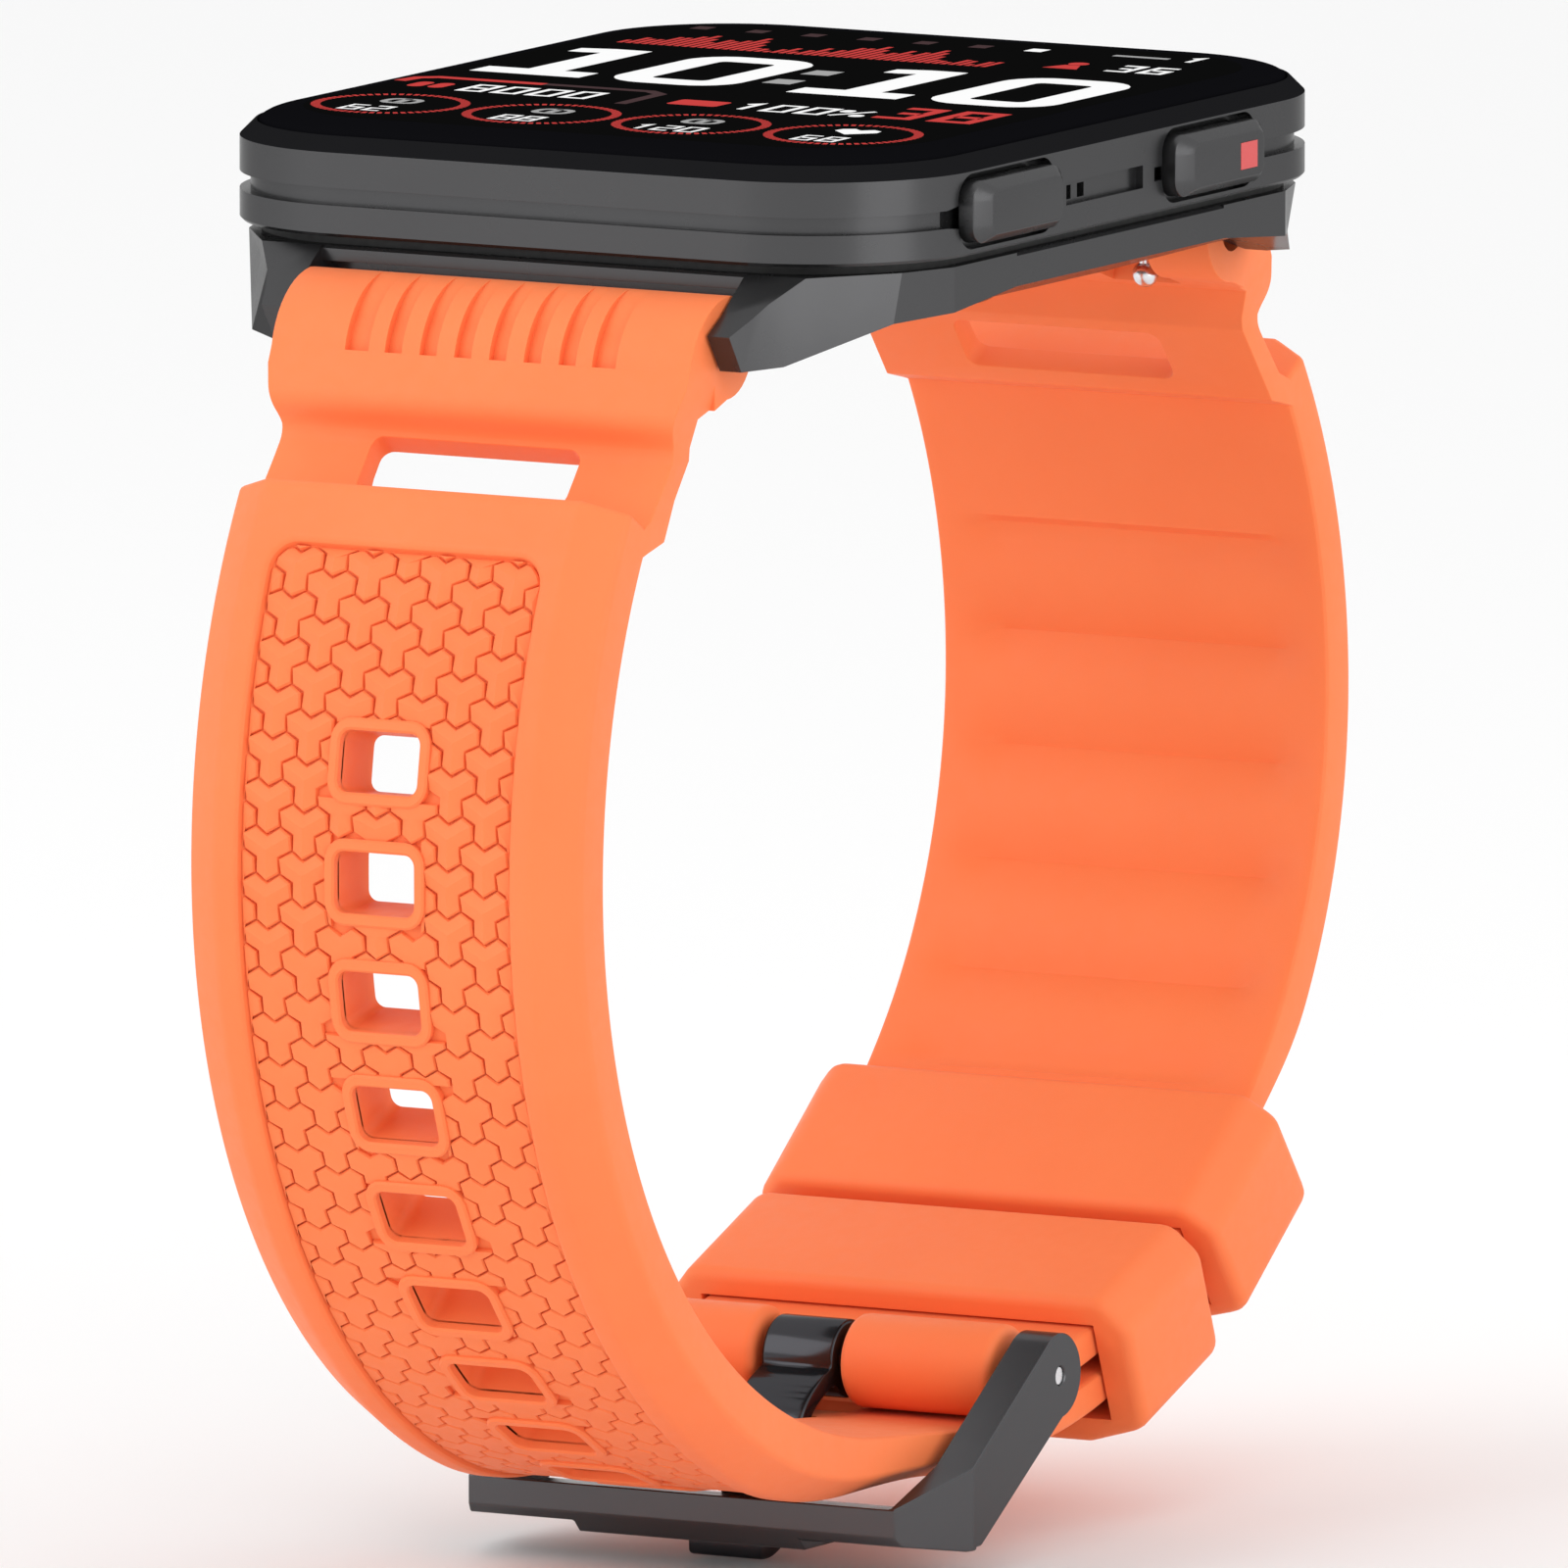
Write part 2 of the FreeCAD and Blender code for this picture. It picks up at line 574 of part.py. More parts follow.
def blended(distance, start, end, first, last):
    """Value that eases from first to last between two distances."""
    part = min(max((distance - start) / (end - start), 0), 1)
    return first + (last - first) * part * part * (3 - 2 * part)


def ribbon(path, thin_from, thin_to):
    """Strap band: a six-sided section with bevelled outer edges, thinned where the halves overlap."""
    def side_height(s):
        return blended(s, thin_from, thin_to, STRAP_SIDE, LAP_SIDE)

    def full_height(s):
        return blended(s, thin_from, thin_to, STRAP_THICK, LAP_THICK)

    def floor(s):
        return 0.0

    half = STRAP_WIDTH / 2
    flat = STRAP_FLAT / 2
    corners = [(-half, floor), (half, floor), (half, side_height), (flat, full_height),
               (-flat, full_height), (-half, side_height)]
    count = 40
    edges = []
    for x, height in corners:
        points = []
        for i in range(count + 1):
            s = path.length * i / count
            points.append(V(x, *path.offset(s, height(s))))
        curve = Part.BSplineCurve()
        curve.interpolate(points)
        edges.append(curve.toShape())
    faces = [Part.makeRuledSurface(edges[i], edges[(i + 1) % 6]) for i in range(6)]
    for s in (0, path.length):
        ring = [V(x, *path.offset(s, height(s))) for x, height in corners]
        faces.append(Part.Face(Part.makePolygon(ring + ring[:1])))
    shell = Part.makeShell(faces)
    shell.sewShape()
    solid = Part.Solid(shell)
    if solid.Volume < 0:
        solid.reverse()
    return solid


def radial_cut(path, distance, half_along, half_x, corner):
    """Rounded-rectangle plug through the band, along its outward direction."""
    point, out = path.at(distance)
    plug = prism(2 * half_x, 2 * half_along, corner, -3, 8)
    lean = math.degrees(math.atan2(-out[0], out[1]))
    plug.rotate(V(0, 0, 0), V(1, 0, 0), lean)
    plug.translate(V(0, point[0], point[1]))
    return plug


def neck_point(along, across):
    """(y, z) in the neck's own directions, from the centre of its slot."""
    down = (math.cos(NECK_SLOPE), -math.sin(NECK_SLOPE))
    out = (math.sin(NECK_SLOPE), math.cos(NECK_SLOPE))
    return (NECK_Y + down[0] * along + out[0] * across, NECK_Z + down[1] * along + out[1] * across)


def neck_slot(side):
    """Vent slot through the neck."""
    slot = prism(2 * SLOT_HALF_X, 2 * SLOT_HALF_ALONG, SLOT_CORNER, -3, 3)
    slot.rotate(V(0, 0, 0), V(1, 0, 0), -math.degrees(NECK_SLOPE))
    slot.translate(V(0, NECK_Y, NECK_Z))
    return slot if side > 0 else mirrored(slot, V(0, 1, 0))


def strap_lug_end(side, bore):
    """Moulded strap end that rolls round the spring bar, down to the middle of the neck."""
    half = STRAP_END_WIDTH / 2
    roll = END_ROLL_RADIUS
    split_out = neck_point(-SPLIT_GAP / 2, NECK_THICK / 2)
    split_in = neck_point(-SPLIT_GAP / 2, -NECK_THICK / 2)

    def at(y, z):
        return V(-half, side * y, z)

    under = at(BAR_Y, BAR_Z - roll)
    top = at(BAR_Y, BAR_Z + roll)
    shoulder = at(27.9, 0.4)
    edges = [Part.Arc(under, at(BAR_Y - roll, BAR_Z), top).toShape(),
             Part.Arc(top, at(26.75, 2.45), shoulder).toShape()]
    chain = [shoulder, at(28.9, -1.9), at(27.9, -3.4), at(*split_out), at(*split_in),
             at(26.65, -3.8), at(26.4, -1.9), under]
    edges += [Part.LineSegment(a, b).toShape() for a, b in zip(chain, chain[1:])]
    body = Part.Face(Part.Wire(edges)).extrude(V(2 * half, 0, 0))
    body = body.cut(rod_x(bore, -half - 1, half + 1, side * BAR_Y, BAR_Z))
    near, far = BAR_Y - KNOB_ROOM_HALF_Y, BAR_Y + KNOB_ROOM_HALF_Y
    open_y = BAR_Y - 4
    room = slab_yz([(open_y, -3), (open_y, KNOB_MOUTH_Z), (near, KNOB_MOUTH_Z), (near, BAR_Z), (far, BAR_Z),
                    (far, -3)], *KNOB_ROOM_X, side)
    return body.cut(room).cut(neck_slot(side)).removeSplitter()


def neck_root(side, path):
    """Lower half of the neck, rooted in the band and proud of its inner face."""
    top = path.offset(0, 0)
    y = side * top[0]
    z = top[1]
    profile = [neck_point(SPLIT_GAP / 2, NECK_THICK / 2), neck_point(2.0, NECK_THICK / 2 + 0.1),
               (y + 1.4, z - 0.1), (y + 1.7, z - 1.3), (y + 0.35, z - 0.95), (y - 1.2, z - 0.6),
               neck_point(SPLIT_GAP / 2, -NECK_THICK / 2)]
    half = STRAP_WIDTH / 2
    return slab_yz(profile, -half, half, side).cut(neck_slot(side))


def hole_strap_band():
    """6 o'clock strap: row of adjustment holes and a tail that passes outside the other half."""
    path = hole_strap_path()
    band = ribbon(path, *HOLE_THINS).fuse(neck_root(-1, path))
    tang_at = path.distance_where(lambda p: p[1] < -40 and p[0] > TANG_HOLE_Y)
    for i in range(HOLE_COUNT):
        distance = tang_at + (i - TANG_HOLE) * HOLE_PITCH
        band = band.cut(radial_cut(path, distance, HOLE_HALF_ALONG, HOLE_HALF_X, HOLE_CORNER))
    return band


def buckle_strap_band():
    """12 o'clock strap: ends in a roll round the buckle pin with a gap for the tang."""
    path = buckle_strap_path()
    half = STRAP_WIDTH / 2
    pin_z = path.at(path.length)[0][1]
    band = ribbon(path, *BUCKLE_THINS).fuse(neck_root(1, path))
    band = band.fuse(rod_x(ROLL_RADIUS, -half, half, PIN_Y, pin_z))
    band = band.cut(rod_x(PIN_BORE, -half - 1, half + 1, PIN_Y, pin_z))
    return band.cut(block(-TANG_GAP_HALF_X, TANG_GAP_HALF_X, *TANG_GAP_Y, pin_z - 4, pin_z + 4))


# ---- keepers ----
def keeper(lean_degrees):
    """Free loop round both strap layers; its opening follows the overlap arc, so it slides along it."""
    middle = (KEEPER_INNER_RADIUS + KEEPER_OUTER_RADIUS) / 2
    half = (KEEPER_OUTER_RADIUS - KEEPER_INNER_RADIUS) / 2
    chamfer = KEEPER_CHAMFER

    def section(t, shrink):
        right = [(KEEPER_HALF_X - 1.3, half), (KEEPER_HALF_X, half - 1.5),
                 (KEEPER_HALF_X, -half + 1.0), (KEEPER_HALF_X - 3.3, -half)]
        pairs = right + [(-x, n) for x, n in reversed(right)]
        ring = [V(x - math.copysign(shrink, x), t, n - math.copysign(shrink, n)) for x, n in pairs]
        return Part.makePolygon(ring + ring[:1])

    reach = KEEPER_LENGTH / 2
    body = Part.makeLoft([section(-reach, chamfer), section(-reach + chamfer, 0),
                          section(reach - chamfer, 0), section(reach, chamfer)], True, True)
    body.translate(V(0, 0, -middle))
    half_width = STRAP_WIDTH / 2 + KEEPER_CLEARANCE
    opening = rod_x(OUTER_LAP_RADIUS + LAP_THICK + KEEPER_CLEARANCE, -half_width, half_width, 0, 0)
    opening = opening.cut(rod_x(INNER_LAP_RADIUS - KEEPER_CLEARANCE, -half_width, half_width, 0, 0))
    body = body.cut(opening)
    body.rotate(V(0, 0, 0), V(1, 0, 0), lean_degrees)
    body.translate(V(0, *LAP_CENTRE))
    return body


# ---- buckle ----
def buckle_frame(pin_z):
    """U-shaped metal frame: two arms with eyes for the pin and a faceted end bar."""
    arm_line = [(2.75, pin_z + 1.55), (-4.5, -53.3), (BAR_FRONT_Y, -54.75), (BAR_FRONT_Y, -56.1),
                (-7.9, -57.15), (-3.6, -57.0), (5.65, pin_z - 1.1)]
    bar_line = [(BAR_FRONT_Y, -54.75), (BAR_FRONT_Y, -56.1), (-7.9, -57.15), (-4.1, -57.15), (-3.9, -55.45)]
    body = slab_yz(bar_line, -ARM_OUTER_X, ARM_OUTER_X)
    for side in (-1, 1):
        x0, x1 = sorted((side * ARM_INNER_X, side * ARM_OUTER_X))
        body = body.fuse(slab_yz(arm_line, x0, x1)).fuse(rod_x(ARM_EYE_RADIUS, x0, x1, PIN_Y, pin_z))
    body = body.cut(rod_x(PIN_TIP_BORE, -20, 20, PIN_Y, pin_z))
    for side in (-1, 1):
        corner = slab_xy([(side * 11.3, -10), (side * 11.3, BAR_FRONT_Y), (side * 13.0, -4.4),
                          (side * 14, -4.4), (side * 14, -10)], -60, -50)
        under = slab_yz([(-10, -56.3), (-2, -57.6), (-2, -60), (-10, -60)], 6.0 * side, 14.0 * side)
        body = body.cut(corner).cut(under)
    return body.removeSplitter()


def buckle_pin(pin_z):
    """Spring bar of the buckle, with a thinner tip in each arm's eye."""
    tip = ARM_OUTER_X - PIN_END_PLAY
    shoulder = ARM_INNER_X - PIN_END_PLAY
    body = rod_x(PIN_RADIUS, -shoulder, shoulder, PIN_Y, pin_z)
    return body.fuse(rod_x(PIN_TIP_RADIUS, -tip, tip, PIN_Y, pin_z)).removeSplitter()


def buckle_tang(pin_z):
    """Tang that wraps the pin, passes down through a strap hole and hooks under the end bar."""
    middle = [(2.6, pin_z - 0.6), (1.0, -51.25), (-0.3, -52.3), (-0.85, -53.6), (-1.2, -55.2),
              (-1.75, -56.75), (-2.9, -57.72), (-4.9, -57.82)]
    half = TANG_HALF_THICK
    left = []
    right = []
    for i, (y, z) in enumerate(middle):
        before = middle[max(i - 1, 0)]
        after = middle[min(i + 1, len(middle) - 1)]
        run = math.dist(before, after)
        ny = -(after[1] - before[1]) / run
        nz = (after[0] - before[0]) / run
        left.append(V(-TANG_HALF_X, y + ny * half, z + nz * half))
        right.append(V(-TANG_HALF_X, y - ny * half, z - nz * half))
    curves = []
    for points in (left, right):
        curve = Part.BSplineCurve()
        curve.interpolate(points)
        curves.append(curve.toShape())
    ends = [Part.LineSegment(left[i], right[i]).toShape() for i in (0, -1)]
    plate = Part.Face(Part.Wire(Part.__sortEdges__(curves + ends))).extrude(V(2 * TANG_HALF_X, 0, 0))
    body = plate.fuse(rod_x(TANG_EYE_RADIUS, -TANG_HALF_X, TANG_HALF_X, PIN_Y, pin_z))
    return body.cut(rod_x(PIN_BORE, -3, 3, PIN_Y, pin_z)).removeSplitter()


# ---- write every node ----
PIN_Z = buckle_strap_path().at(buckle_strap_path().length)[0][1]

save("middle_frame", middle_frame())
save("cover_glass", cover_glass())
save("display_panel", prism(DISPLAY_WIDTH, DISPLAY_LENGTH, DISPLAY_CORNER, DISPLAY_LOW_Z, LEDGE_Z))
save("front_gasket", ring_gasket(LEDGE_Z - LEDGE_THICK, LEDGE_Z, 2.9, 0.2))
save("rear_housing", rear_housing())
save("rear_gasket", ring_gasket(HOUSING_TOP_Z, FRAME_Z, NECK_INSET, 0.9))
save("sensor_window", prism(WINDOW_WIDTH, WINDOW_LENGTH, WINDOW_CORNER, WINDOW_Z, WINDOW_THICK))
save("optical_sensor_board", optical_sensor_board())
save("charging_contacts", charging_contacts())
save("housing_screws", housing_screws())
save("inner_carrier", inner_carrier())
save("battery", prism(BATTERY_SIZE, BATTERY_SIZE, BATTERY_CORNER, BATTERY_LOW_Z, BATTERY_TOP_Z))
save("main_board", main_board())
shield_room = prism(11.4, 13.4, 0.5, 6.2, 7.3)
save("processor_shield", prism(12.0, 14.0, 0.8, BOARD_TOP_Z, 7.5).cut(shield_room))
save("gps_antenna", block(*ANTENNA_BOX))
save("display_cable", display_cable())
save("speaker", block(*SPEAKER_BOX))
save("speaker_mesh", block(*MESH_BOX))
save("microphone", block(*MICROPHONE_BOX))
save("vibration_motor", coin_motor())
for name, y in BUTTONS.items():
    cap = button(y)
    if name == "upper":
        cap = cap.cut(accent_plate())
        save("upper_button_accent", accent_plate())
    save(name + "_button", cap)
    save(name + "_button_clip", retaining_clip(y))
    save(name + "_button_seal", stem_seal(y))
    save(name + "_button_switch", side_switch(y))
for name, side in (("front", -1), ("rear", 1)):
    save(name + "_bar_tube", bar_tube(side))
    save(name + "_bar_plunger", bar_fixed_tip(side))
    save(name + "_bar_release", bar_release(side))
    save(name + "_bar_spring", bar_spring(side))
save("hole_strap_lug_end", strap_lug_end(-1, LOOSE_BAR_BORE))
save("buckle_strap_lug_end", strap_lug_end(1, BAR_BORE))
save("hole_strap_band", hole_strap_band())
save("buckle_strap_band", buckle_strap_band())
save("keeper_lower", keeper(KEEPER_LOWER_LEAN))
save("keeper_upper", keeper(KEEPER_UPPER_LEAN))
save("buckle_frame", buckle_frame(PIN_Z))
save("buckle_pin", buckle_pin(PIN_Z))
save("buckle_tang", buckle_tang(PIN_Z))
print("pin height", round(PIN_Z, 3))
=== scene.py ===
import json
import math

import bmesh
import bpy
from mathutils import Matrix, Vector


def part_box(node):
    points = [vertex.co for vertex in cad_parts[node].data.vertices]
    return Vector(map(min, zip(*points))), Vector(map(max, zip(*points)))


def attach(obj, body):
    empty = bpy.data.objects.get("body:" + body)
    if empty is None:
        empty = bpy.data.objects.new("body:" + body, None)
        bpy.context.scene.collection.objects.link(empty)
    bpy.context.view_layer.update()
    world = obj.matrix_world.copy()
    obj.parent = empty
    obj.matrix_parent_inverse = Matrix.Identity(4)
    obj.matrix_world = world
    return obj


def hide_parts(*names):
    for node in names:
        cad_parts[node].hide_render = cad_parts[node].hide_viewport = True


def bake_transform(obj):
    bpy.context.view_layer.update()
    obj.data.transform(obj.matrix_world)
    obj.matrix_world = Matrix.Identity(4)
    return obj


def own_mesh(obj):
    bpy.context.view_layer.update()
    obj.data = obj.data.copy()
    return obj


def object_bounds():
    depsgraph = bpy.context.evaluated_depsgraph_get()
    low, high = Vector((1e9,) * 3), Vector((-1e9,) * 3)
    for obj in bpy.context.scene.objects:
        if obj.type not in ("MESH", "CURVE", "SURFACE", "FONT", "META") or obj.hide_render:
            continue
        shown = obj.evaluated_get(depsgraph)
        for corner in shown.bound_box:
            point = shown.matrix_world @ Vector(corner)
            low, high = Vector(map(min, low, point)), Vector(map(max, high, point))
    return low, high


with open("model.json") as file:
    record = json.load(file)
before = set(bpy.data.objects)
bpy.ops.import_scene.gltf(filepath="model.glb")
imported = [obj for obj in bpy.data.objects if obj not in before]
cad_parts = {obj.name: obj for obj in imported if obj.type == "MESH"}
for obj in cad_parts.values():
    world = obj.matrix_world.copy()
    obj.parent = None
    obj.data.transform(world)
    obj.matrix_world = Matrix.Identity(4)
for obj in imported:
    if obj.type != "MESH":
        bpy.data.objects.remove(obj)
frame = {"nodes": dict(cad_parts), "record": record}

cad_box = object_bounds()
MM = 0.001


def extent(node, axis):
    """(low, high) of a CAD node along one axis, in millimetres."""
    low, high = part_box(node)
    return round(low[axis] / MM, 2), round(high[axis] / MM, 2)


def pivot(joint):
    """(y, z) of a hinge that turns about X, in millimetres."""
    place = next(j["pos_m"] for j in frame["record"]["behaviour"]["joints"] if j["name"] == joint)
    return round(place[1] / MM, 2), round(place[2] / MM, 2)


# ---- places and sizes taken from the CAD, in millimetres ----
CASE_W = 2 * extent("middle_frame", 0)[1]
CASE_L = 2 * extent("middle_frame", 1)[1]
GLASS_INSET = round(CASE_W / 2 - extent("cover_glass", 0)[1], 2)
GLASS_LOW, GLASS_TOP = extent("cover_glass", 2)
STRAP_W = 2 * extent("hole_strap_band", 0)[1]
BAR_Y, BAR_Z = pivot("strap_sway")
NECK = pivot("buckle_strap_neck")
LAP_CENTRE = pivot("keeper_lower_slide")
PIN_Y = pivot("buckle_pivot")[0]

# ---- sizes inside those, in millimetres ----
CASE_R = 8.2
GLASS_EDGE = 9.45
STRAP_FLAT, STRAP_T, STRAP_SIDE = 16.6, 3.45, 2.2
STRAP_EDGE = 0.28
LAP_T = 2.3
INNER_LAP, OUTER_LAP = 33.1, 35.5
HOLE_STRAP_THINS, BUCKLE_STRAP_THINS = (52, 68), (30, 38)
NECK_T = 1.25
NECK_SLOPE = math.radians(51.6)
BEND_LINE, BEND_REACH = (0.486, -0.874), 0.9
HOLES, HOLE_PITCH, TANG_HOLE, TANG_HOLE_Y = 13, 5.05, 11, -0.6
HOLE_X, HOLE_S, HOLE_CORNER = 2.1, 1.3, 0.5
END_ROLL = 2.4
END_CREST, END_SHOULDER = (26.75, 2.45), (27.9, 0.4)
BAR_BORE, LOOSE_BAR_BORE, PIN_BORE = 0.95, 1.06, 0.8
BORE_REACH = 12
PIN_ROLL, PIN_ROLL_ROUND = 2.2, 0.45
TANG_GAP_HALF, TANG_GAP_END = 2.35, 7.6


# ---- mesh helpers ----
def make_object(name, bm):
    """A new object from a bmesh, which is used up. Meshes are in millimetres until scaled()."""
    mesh = bpy.data.meshes.new(name)
    bm.to_mesh(mesh)
    bm.free()
    obj = bpy.data.objects.new(name, mesh)
    bpy.context.scene.collection.objects.link(obj)
    return obj


def baked(obj):
    """Applies an object's modifiers to its mesh."""
    depsgraph = bpy.context.evaluated_depsgraph_get()
    mesh = bpy.data.meshes.new_from_object(obj.evaluated_get(depsgraph))
    old = obj.data
    obj.modifiers.clear()
    obj.data = mesh
    bpy.data.meshes.remove(old)


def boolean(obj, other, operation="DIFFERENCE"):
    """Cuts with, or joins, another closed mesh, which is used up."""
    modifier = obj.modifiers.new("cut", "BOOLEAN")
    modifier.operation = operation
    modifier.solver = "EXACT"
    modifier.object = other
    baked(obj)
    bpy.data.objects.remove(other)


def bevel(obj, width, segments=3, angle=24):
    """Rounds the edges that turn by more than angle degrees."""
    modifier = obj.modifiers.new("bevel", "BEVEL")
    modifier.width = width
    modifier.segments = segments
    modifier.limit_method = "ANGLE"
    modifier.angle_limit = math.radians(angle)
    modifier.use_clamp_overlap = True
    baked(obj)


def smooth(obj, angle=32):
    """Smooth shading, with creases where faces turn by more than angle degrees."""
    mesh = obj.data
    mesh.polygons.foreach_set("use_smooth", [True] * len(mesh.polygons))
    bm = bmesh.new()
    bm.from_mesh(mesh)
    for edge in bm.edges:
        edge.smooth = len(edge.link_faces) != 2 or edge.calc_face_angle(0) < math.radians(angle)
    bm.to_mesh(mesh)
    bm.free()
    return obj


def scaled(obj):
    """Turns a mesh from millimetres into metres."""
    obj.data.transform(Matrix.Scale(MM, 4))
    return obj


def prism(points, lift, name="prism"):
    """Closed prism over a polygon of 3-D points, swept by the vector lift."""
    bm = bmesh.new()
    low = [bm.verts.new(p) for p in points]
    high = [bm.verts.new(Vector(p) + Vector(lift)) for p in points]
    count = len(points)
    bm.faces.new(low)
    bm.faces.new(reversed(high))
    for i in range(count):
        j = (i + 1) % count
        bm.faces.new((low[j], low[i], high[i], high[j]))
    bmesh.ops.recalc_face_normals(bm, faces=bm.faces)
    return make_object(name, bm)


def rounded_rectangle(hx, hy, radius, steps=6, cx=0.0, cy=0.0):
    """Points of a rectangle with round corners."""
    points = []
    for k, (sx, sy) in enumerate(((1, 1), (-1, 1), (-1, -1), (1, -1))):
        for i in range(steps + 1):
            a = math.radians(90 * k + 90 * i / steps)
            points.append((cx + sx * (hx - radius) + radius * math.cos(a),
                           cy + sy * (hy - radius) + radius * math.sin(a)))
    return points


def rod_x(radius, x0, x1, y, z, sides=48):
    """Closed cylinder along X."""
    turns = [math.tau * i / sides for i in range(sides)]
    ring = [(x0, y + radius * math.cos(a), z + radius * math.sin(a)) for a in turns]
    return prism(ring, (x1 - x0, 0, 0), "rod")


def lathe_x(profile, y, z, sides=48):
    """Solid turned about a line along X, from (x, radius) pairs whose ends have radius 0."""
    bm = bmesh.new()
    rings = []
    turns = [math.tau * i / sides for i in range(sides)]
    for x, radius in profile:
        if radius > 1e-6:
            ring = [(x, y + radius * math.cos(a), z + radius * math.sin(a)) for a in turns]
        else:
            ring = [(x, y, z)]
        rings.append([bm.verts.new(place) for place in ring])
    for low, high in zip(rings, rings[1:]):
        for i in range(sides):
            j = (i + 1) % sides
            if len(low) == 1:
                bm.faces.new((low[0], high[i], high[j]))
            elif len(high) == 1:
                bm.faces.new((low[j], low[i], high[0]))
            else:
                bm.faces.new((low[j], low[i], high[i], high[j]))
    bmesh.ops.recalc_face_normals(bm, faces=bm.faces)
    return make_object("lathe", bm)


def joined(objects, name):
    """One object from several, with no boolean."""
    bm = bmesh.new()
    for obj in objects:
        bm.from_mesh(obj.data)
        bpy.data.objects.remove(obj)
    return make_object(name, bm)


def softened(node, width, segments, angle=24):
    """Copy of a CAD node, in millimetres, with rounded edges."""
    weld, flat = 0.002, math.radians(1.0)
    bm = bmesh.new()
    bm.from_mesh(frame["nodes"][node].data)
    bmesh.ops.scale(bm, vec=(1 / MM,) * 3, verts=bm.verts)
    bmesh.ops.remove_doubles(bm, verts=bm.verts, dist=weld)
    bmesh.ops.dissolve_limit(bm, angle_limit=flat, verts=bm.verts, edges=bm.edges)
    obj = make_object(node + "_soft", bm)
    bevel(obj, width, segments, angle)
    return obj


def finish_piece(obj, material, body, slot, *nodes):
    """Gives a piece its material, hides the CAD nodes it stands for, and attaches it to its body unless it
    blends; slot is not used.
    """
    obj.data.materials.clear()
    obj.data.materials.append(material)
    if body:
        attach(obj, body)
    if nodes:
        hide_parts(*nodes)


# ---- materials ----
NOISE_LOW, NOISE_HIGH = 0.3, 0.7


def new_material(name, colour, roughness, metallic=0.0, **extra):
    """Principled material; extra are sockets set by name."""
    material = bpy.data.materials.new(name)
    material.use_nodes = True
    shader = material.node_tree.nodes["Principled BSDF"]
    shader.inputs["Base Color"].default_value = (*colour, 1)
    shader.inputs["Roughness"].default_value = roughness
    shader.inputs["Metallic"].default_value = metallic
    for key, value in extra.items():
        shader.inputs[key.replace("_", " ")].default_value = value
    return material


def noise(tree, scale, detail=3.0, roughness=0.5, stretch=(1, 1, 1)):
    """Noise over object coordinates in millimetres."""
    place = tree.nodes.new("ShaderNodeTexCoord")
    mapping = tree.nodes.new("ShaderNodeMapping")
    mapping.inputs["Scale"].default_value = [s / MM for s in stretch]
    field = tree.nodes.new("ShaderNodeTexNoise")
    field.inputs["Scale"].default_value = scale
    field.inputs["Detail"].default_value = detail
    field.inputs["Roughness"].default_value = roughness
    tree.links.new(place.outputs["Object"], mapping.inputs["Vector"])
    tree.links.new(mapping.outputs["Vector"], field.inputs["Vector"])
    return field


def vary_colour(material, scale, low, high, **kwargs):
    """Mixes two close colours by a noise field."""
    tree = material.node_tree
    ramp = tree.nodes.new("ShaderNodeValToRGB")
    ramp.color_ramp.elements[0].position = NOISE_LOW
    ramp.color_ramp.elements[1].position = NOISE_HIGH
    ramp.color_ramp.elements[0].color = (*low, 1)
    ramp.color_ramp.elements[1].color = (*high, 1)
    field = noise(tree, scale, **kwargs)
    tree.links.new(field.outputs["Fac"], ramp.inputs["Fac"])
    tree.links.new(ramp.outputs["Color"], tree.nodes["Principled BSDF"].inputs["Base Color"])


def vary_roughness(material, scale, low, high, **kwargs):
    """Lets roughness wander between two values."""
    tree = material.node_tree
    spread = tree.nodes.new("ShaderNodeMapRange")
    spread.inputs["From Min"].default_value = NOISE_LOW
    spread.inputs["From Max"].default_value = NOISE_HIGH
    spread.inputs["To Min"].default_value = low
    spread.inputs["To Max"].default_value = high
    field = noise(tree, scale, **kwargs)
    tree.links.new(field.outputs["Fac"], spread.inputs["Value"])
    tree.links.new(spread.outputs["Result"], tree.nodes["Principled BSDF"].inputs["Roughness"])


def add_bump(material, scale, strength, distance, **kwargs):
    """Fine relief from noise; distance is in millimetres."""
    tree = material.node_tree
    bump = tree.nodes.new("ShaderNodeBump")
    bump.inputs["Strength"].default_value = strength
    bump.inputs["Distance"].default_value = distance * MM
    field = noise(tree, scale, **kwargs)
    tree.links.new(field.outputs["Fac"], bump.inputs["Height"])
    tree.links.new(bump.outputs["Normal"], tree.nodes["Principled BSDF"].inputs["Normal"])


def strap_material():
    """Matte orange fluoro-rubber: faint mottling, a fine blasted grain and a soft sheen."""
    material = new_material("strap_rubber", (0.93, 0.213, 0.068), 0.6, Specular_IOR_Level=0.25,
                            Sheen_Weight=0.04, Subsurface_Weight=0.06, Subsurface_Scale=1.2 * MM,
                            Subsurface_Radius=(1.0, 0.35, 0.12))
    vary_colour(material, 0.12, (0.92, 0.205, 0.064), (0.94, 0.219, 0.070))
    vary_roughness(material, 1.4, 0.5, 0.62)
    add_bump(material, 9.0, 0.12, 0.03, detail=2.0)
    return material


def metal_material(name, colour, roughness, grain):
    """Blasted metal: fine even grain and roughness that wanders a little."""
    edge_tint = (0.55, 0.55, 0.55, 1)
    wander = 0.02
    material = new_material(name, colour, roughness, 0.85, Specular_IOR_Level=0.25, Specular_Tint=edge_tint)
    brighter = tuple(c * 1.04 for c in colour)
    vary_colour(material, 0.08, colour, brighter)
    vary_roughness(material, 0.5, roughness - wander, roughness + wander)
    add_bump(material, 5.0, grain, 0.008, detail=1.0)
    return material


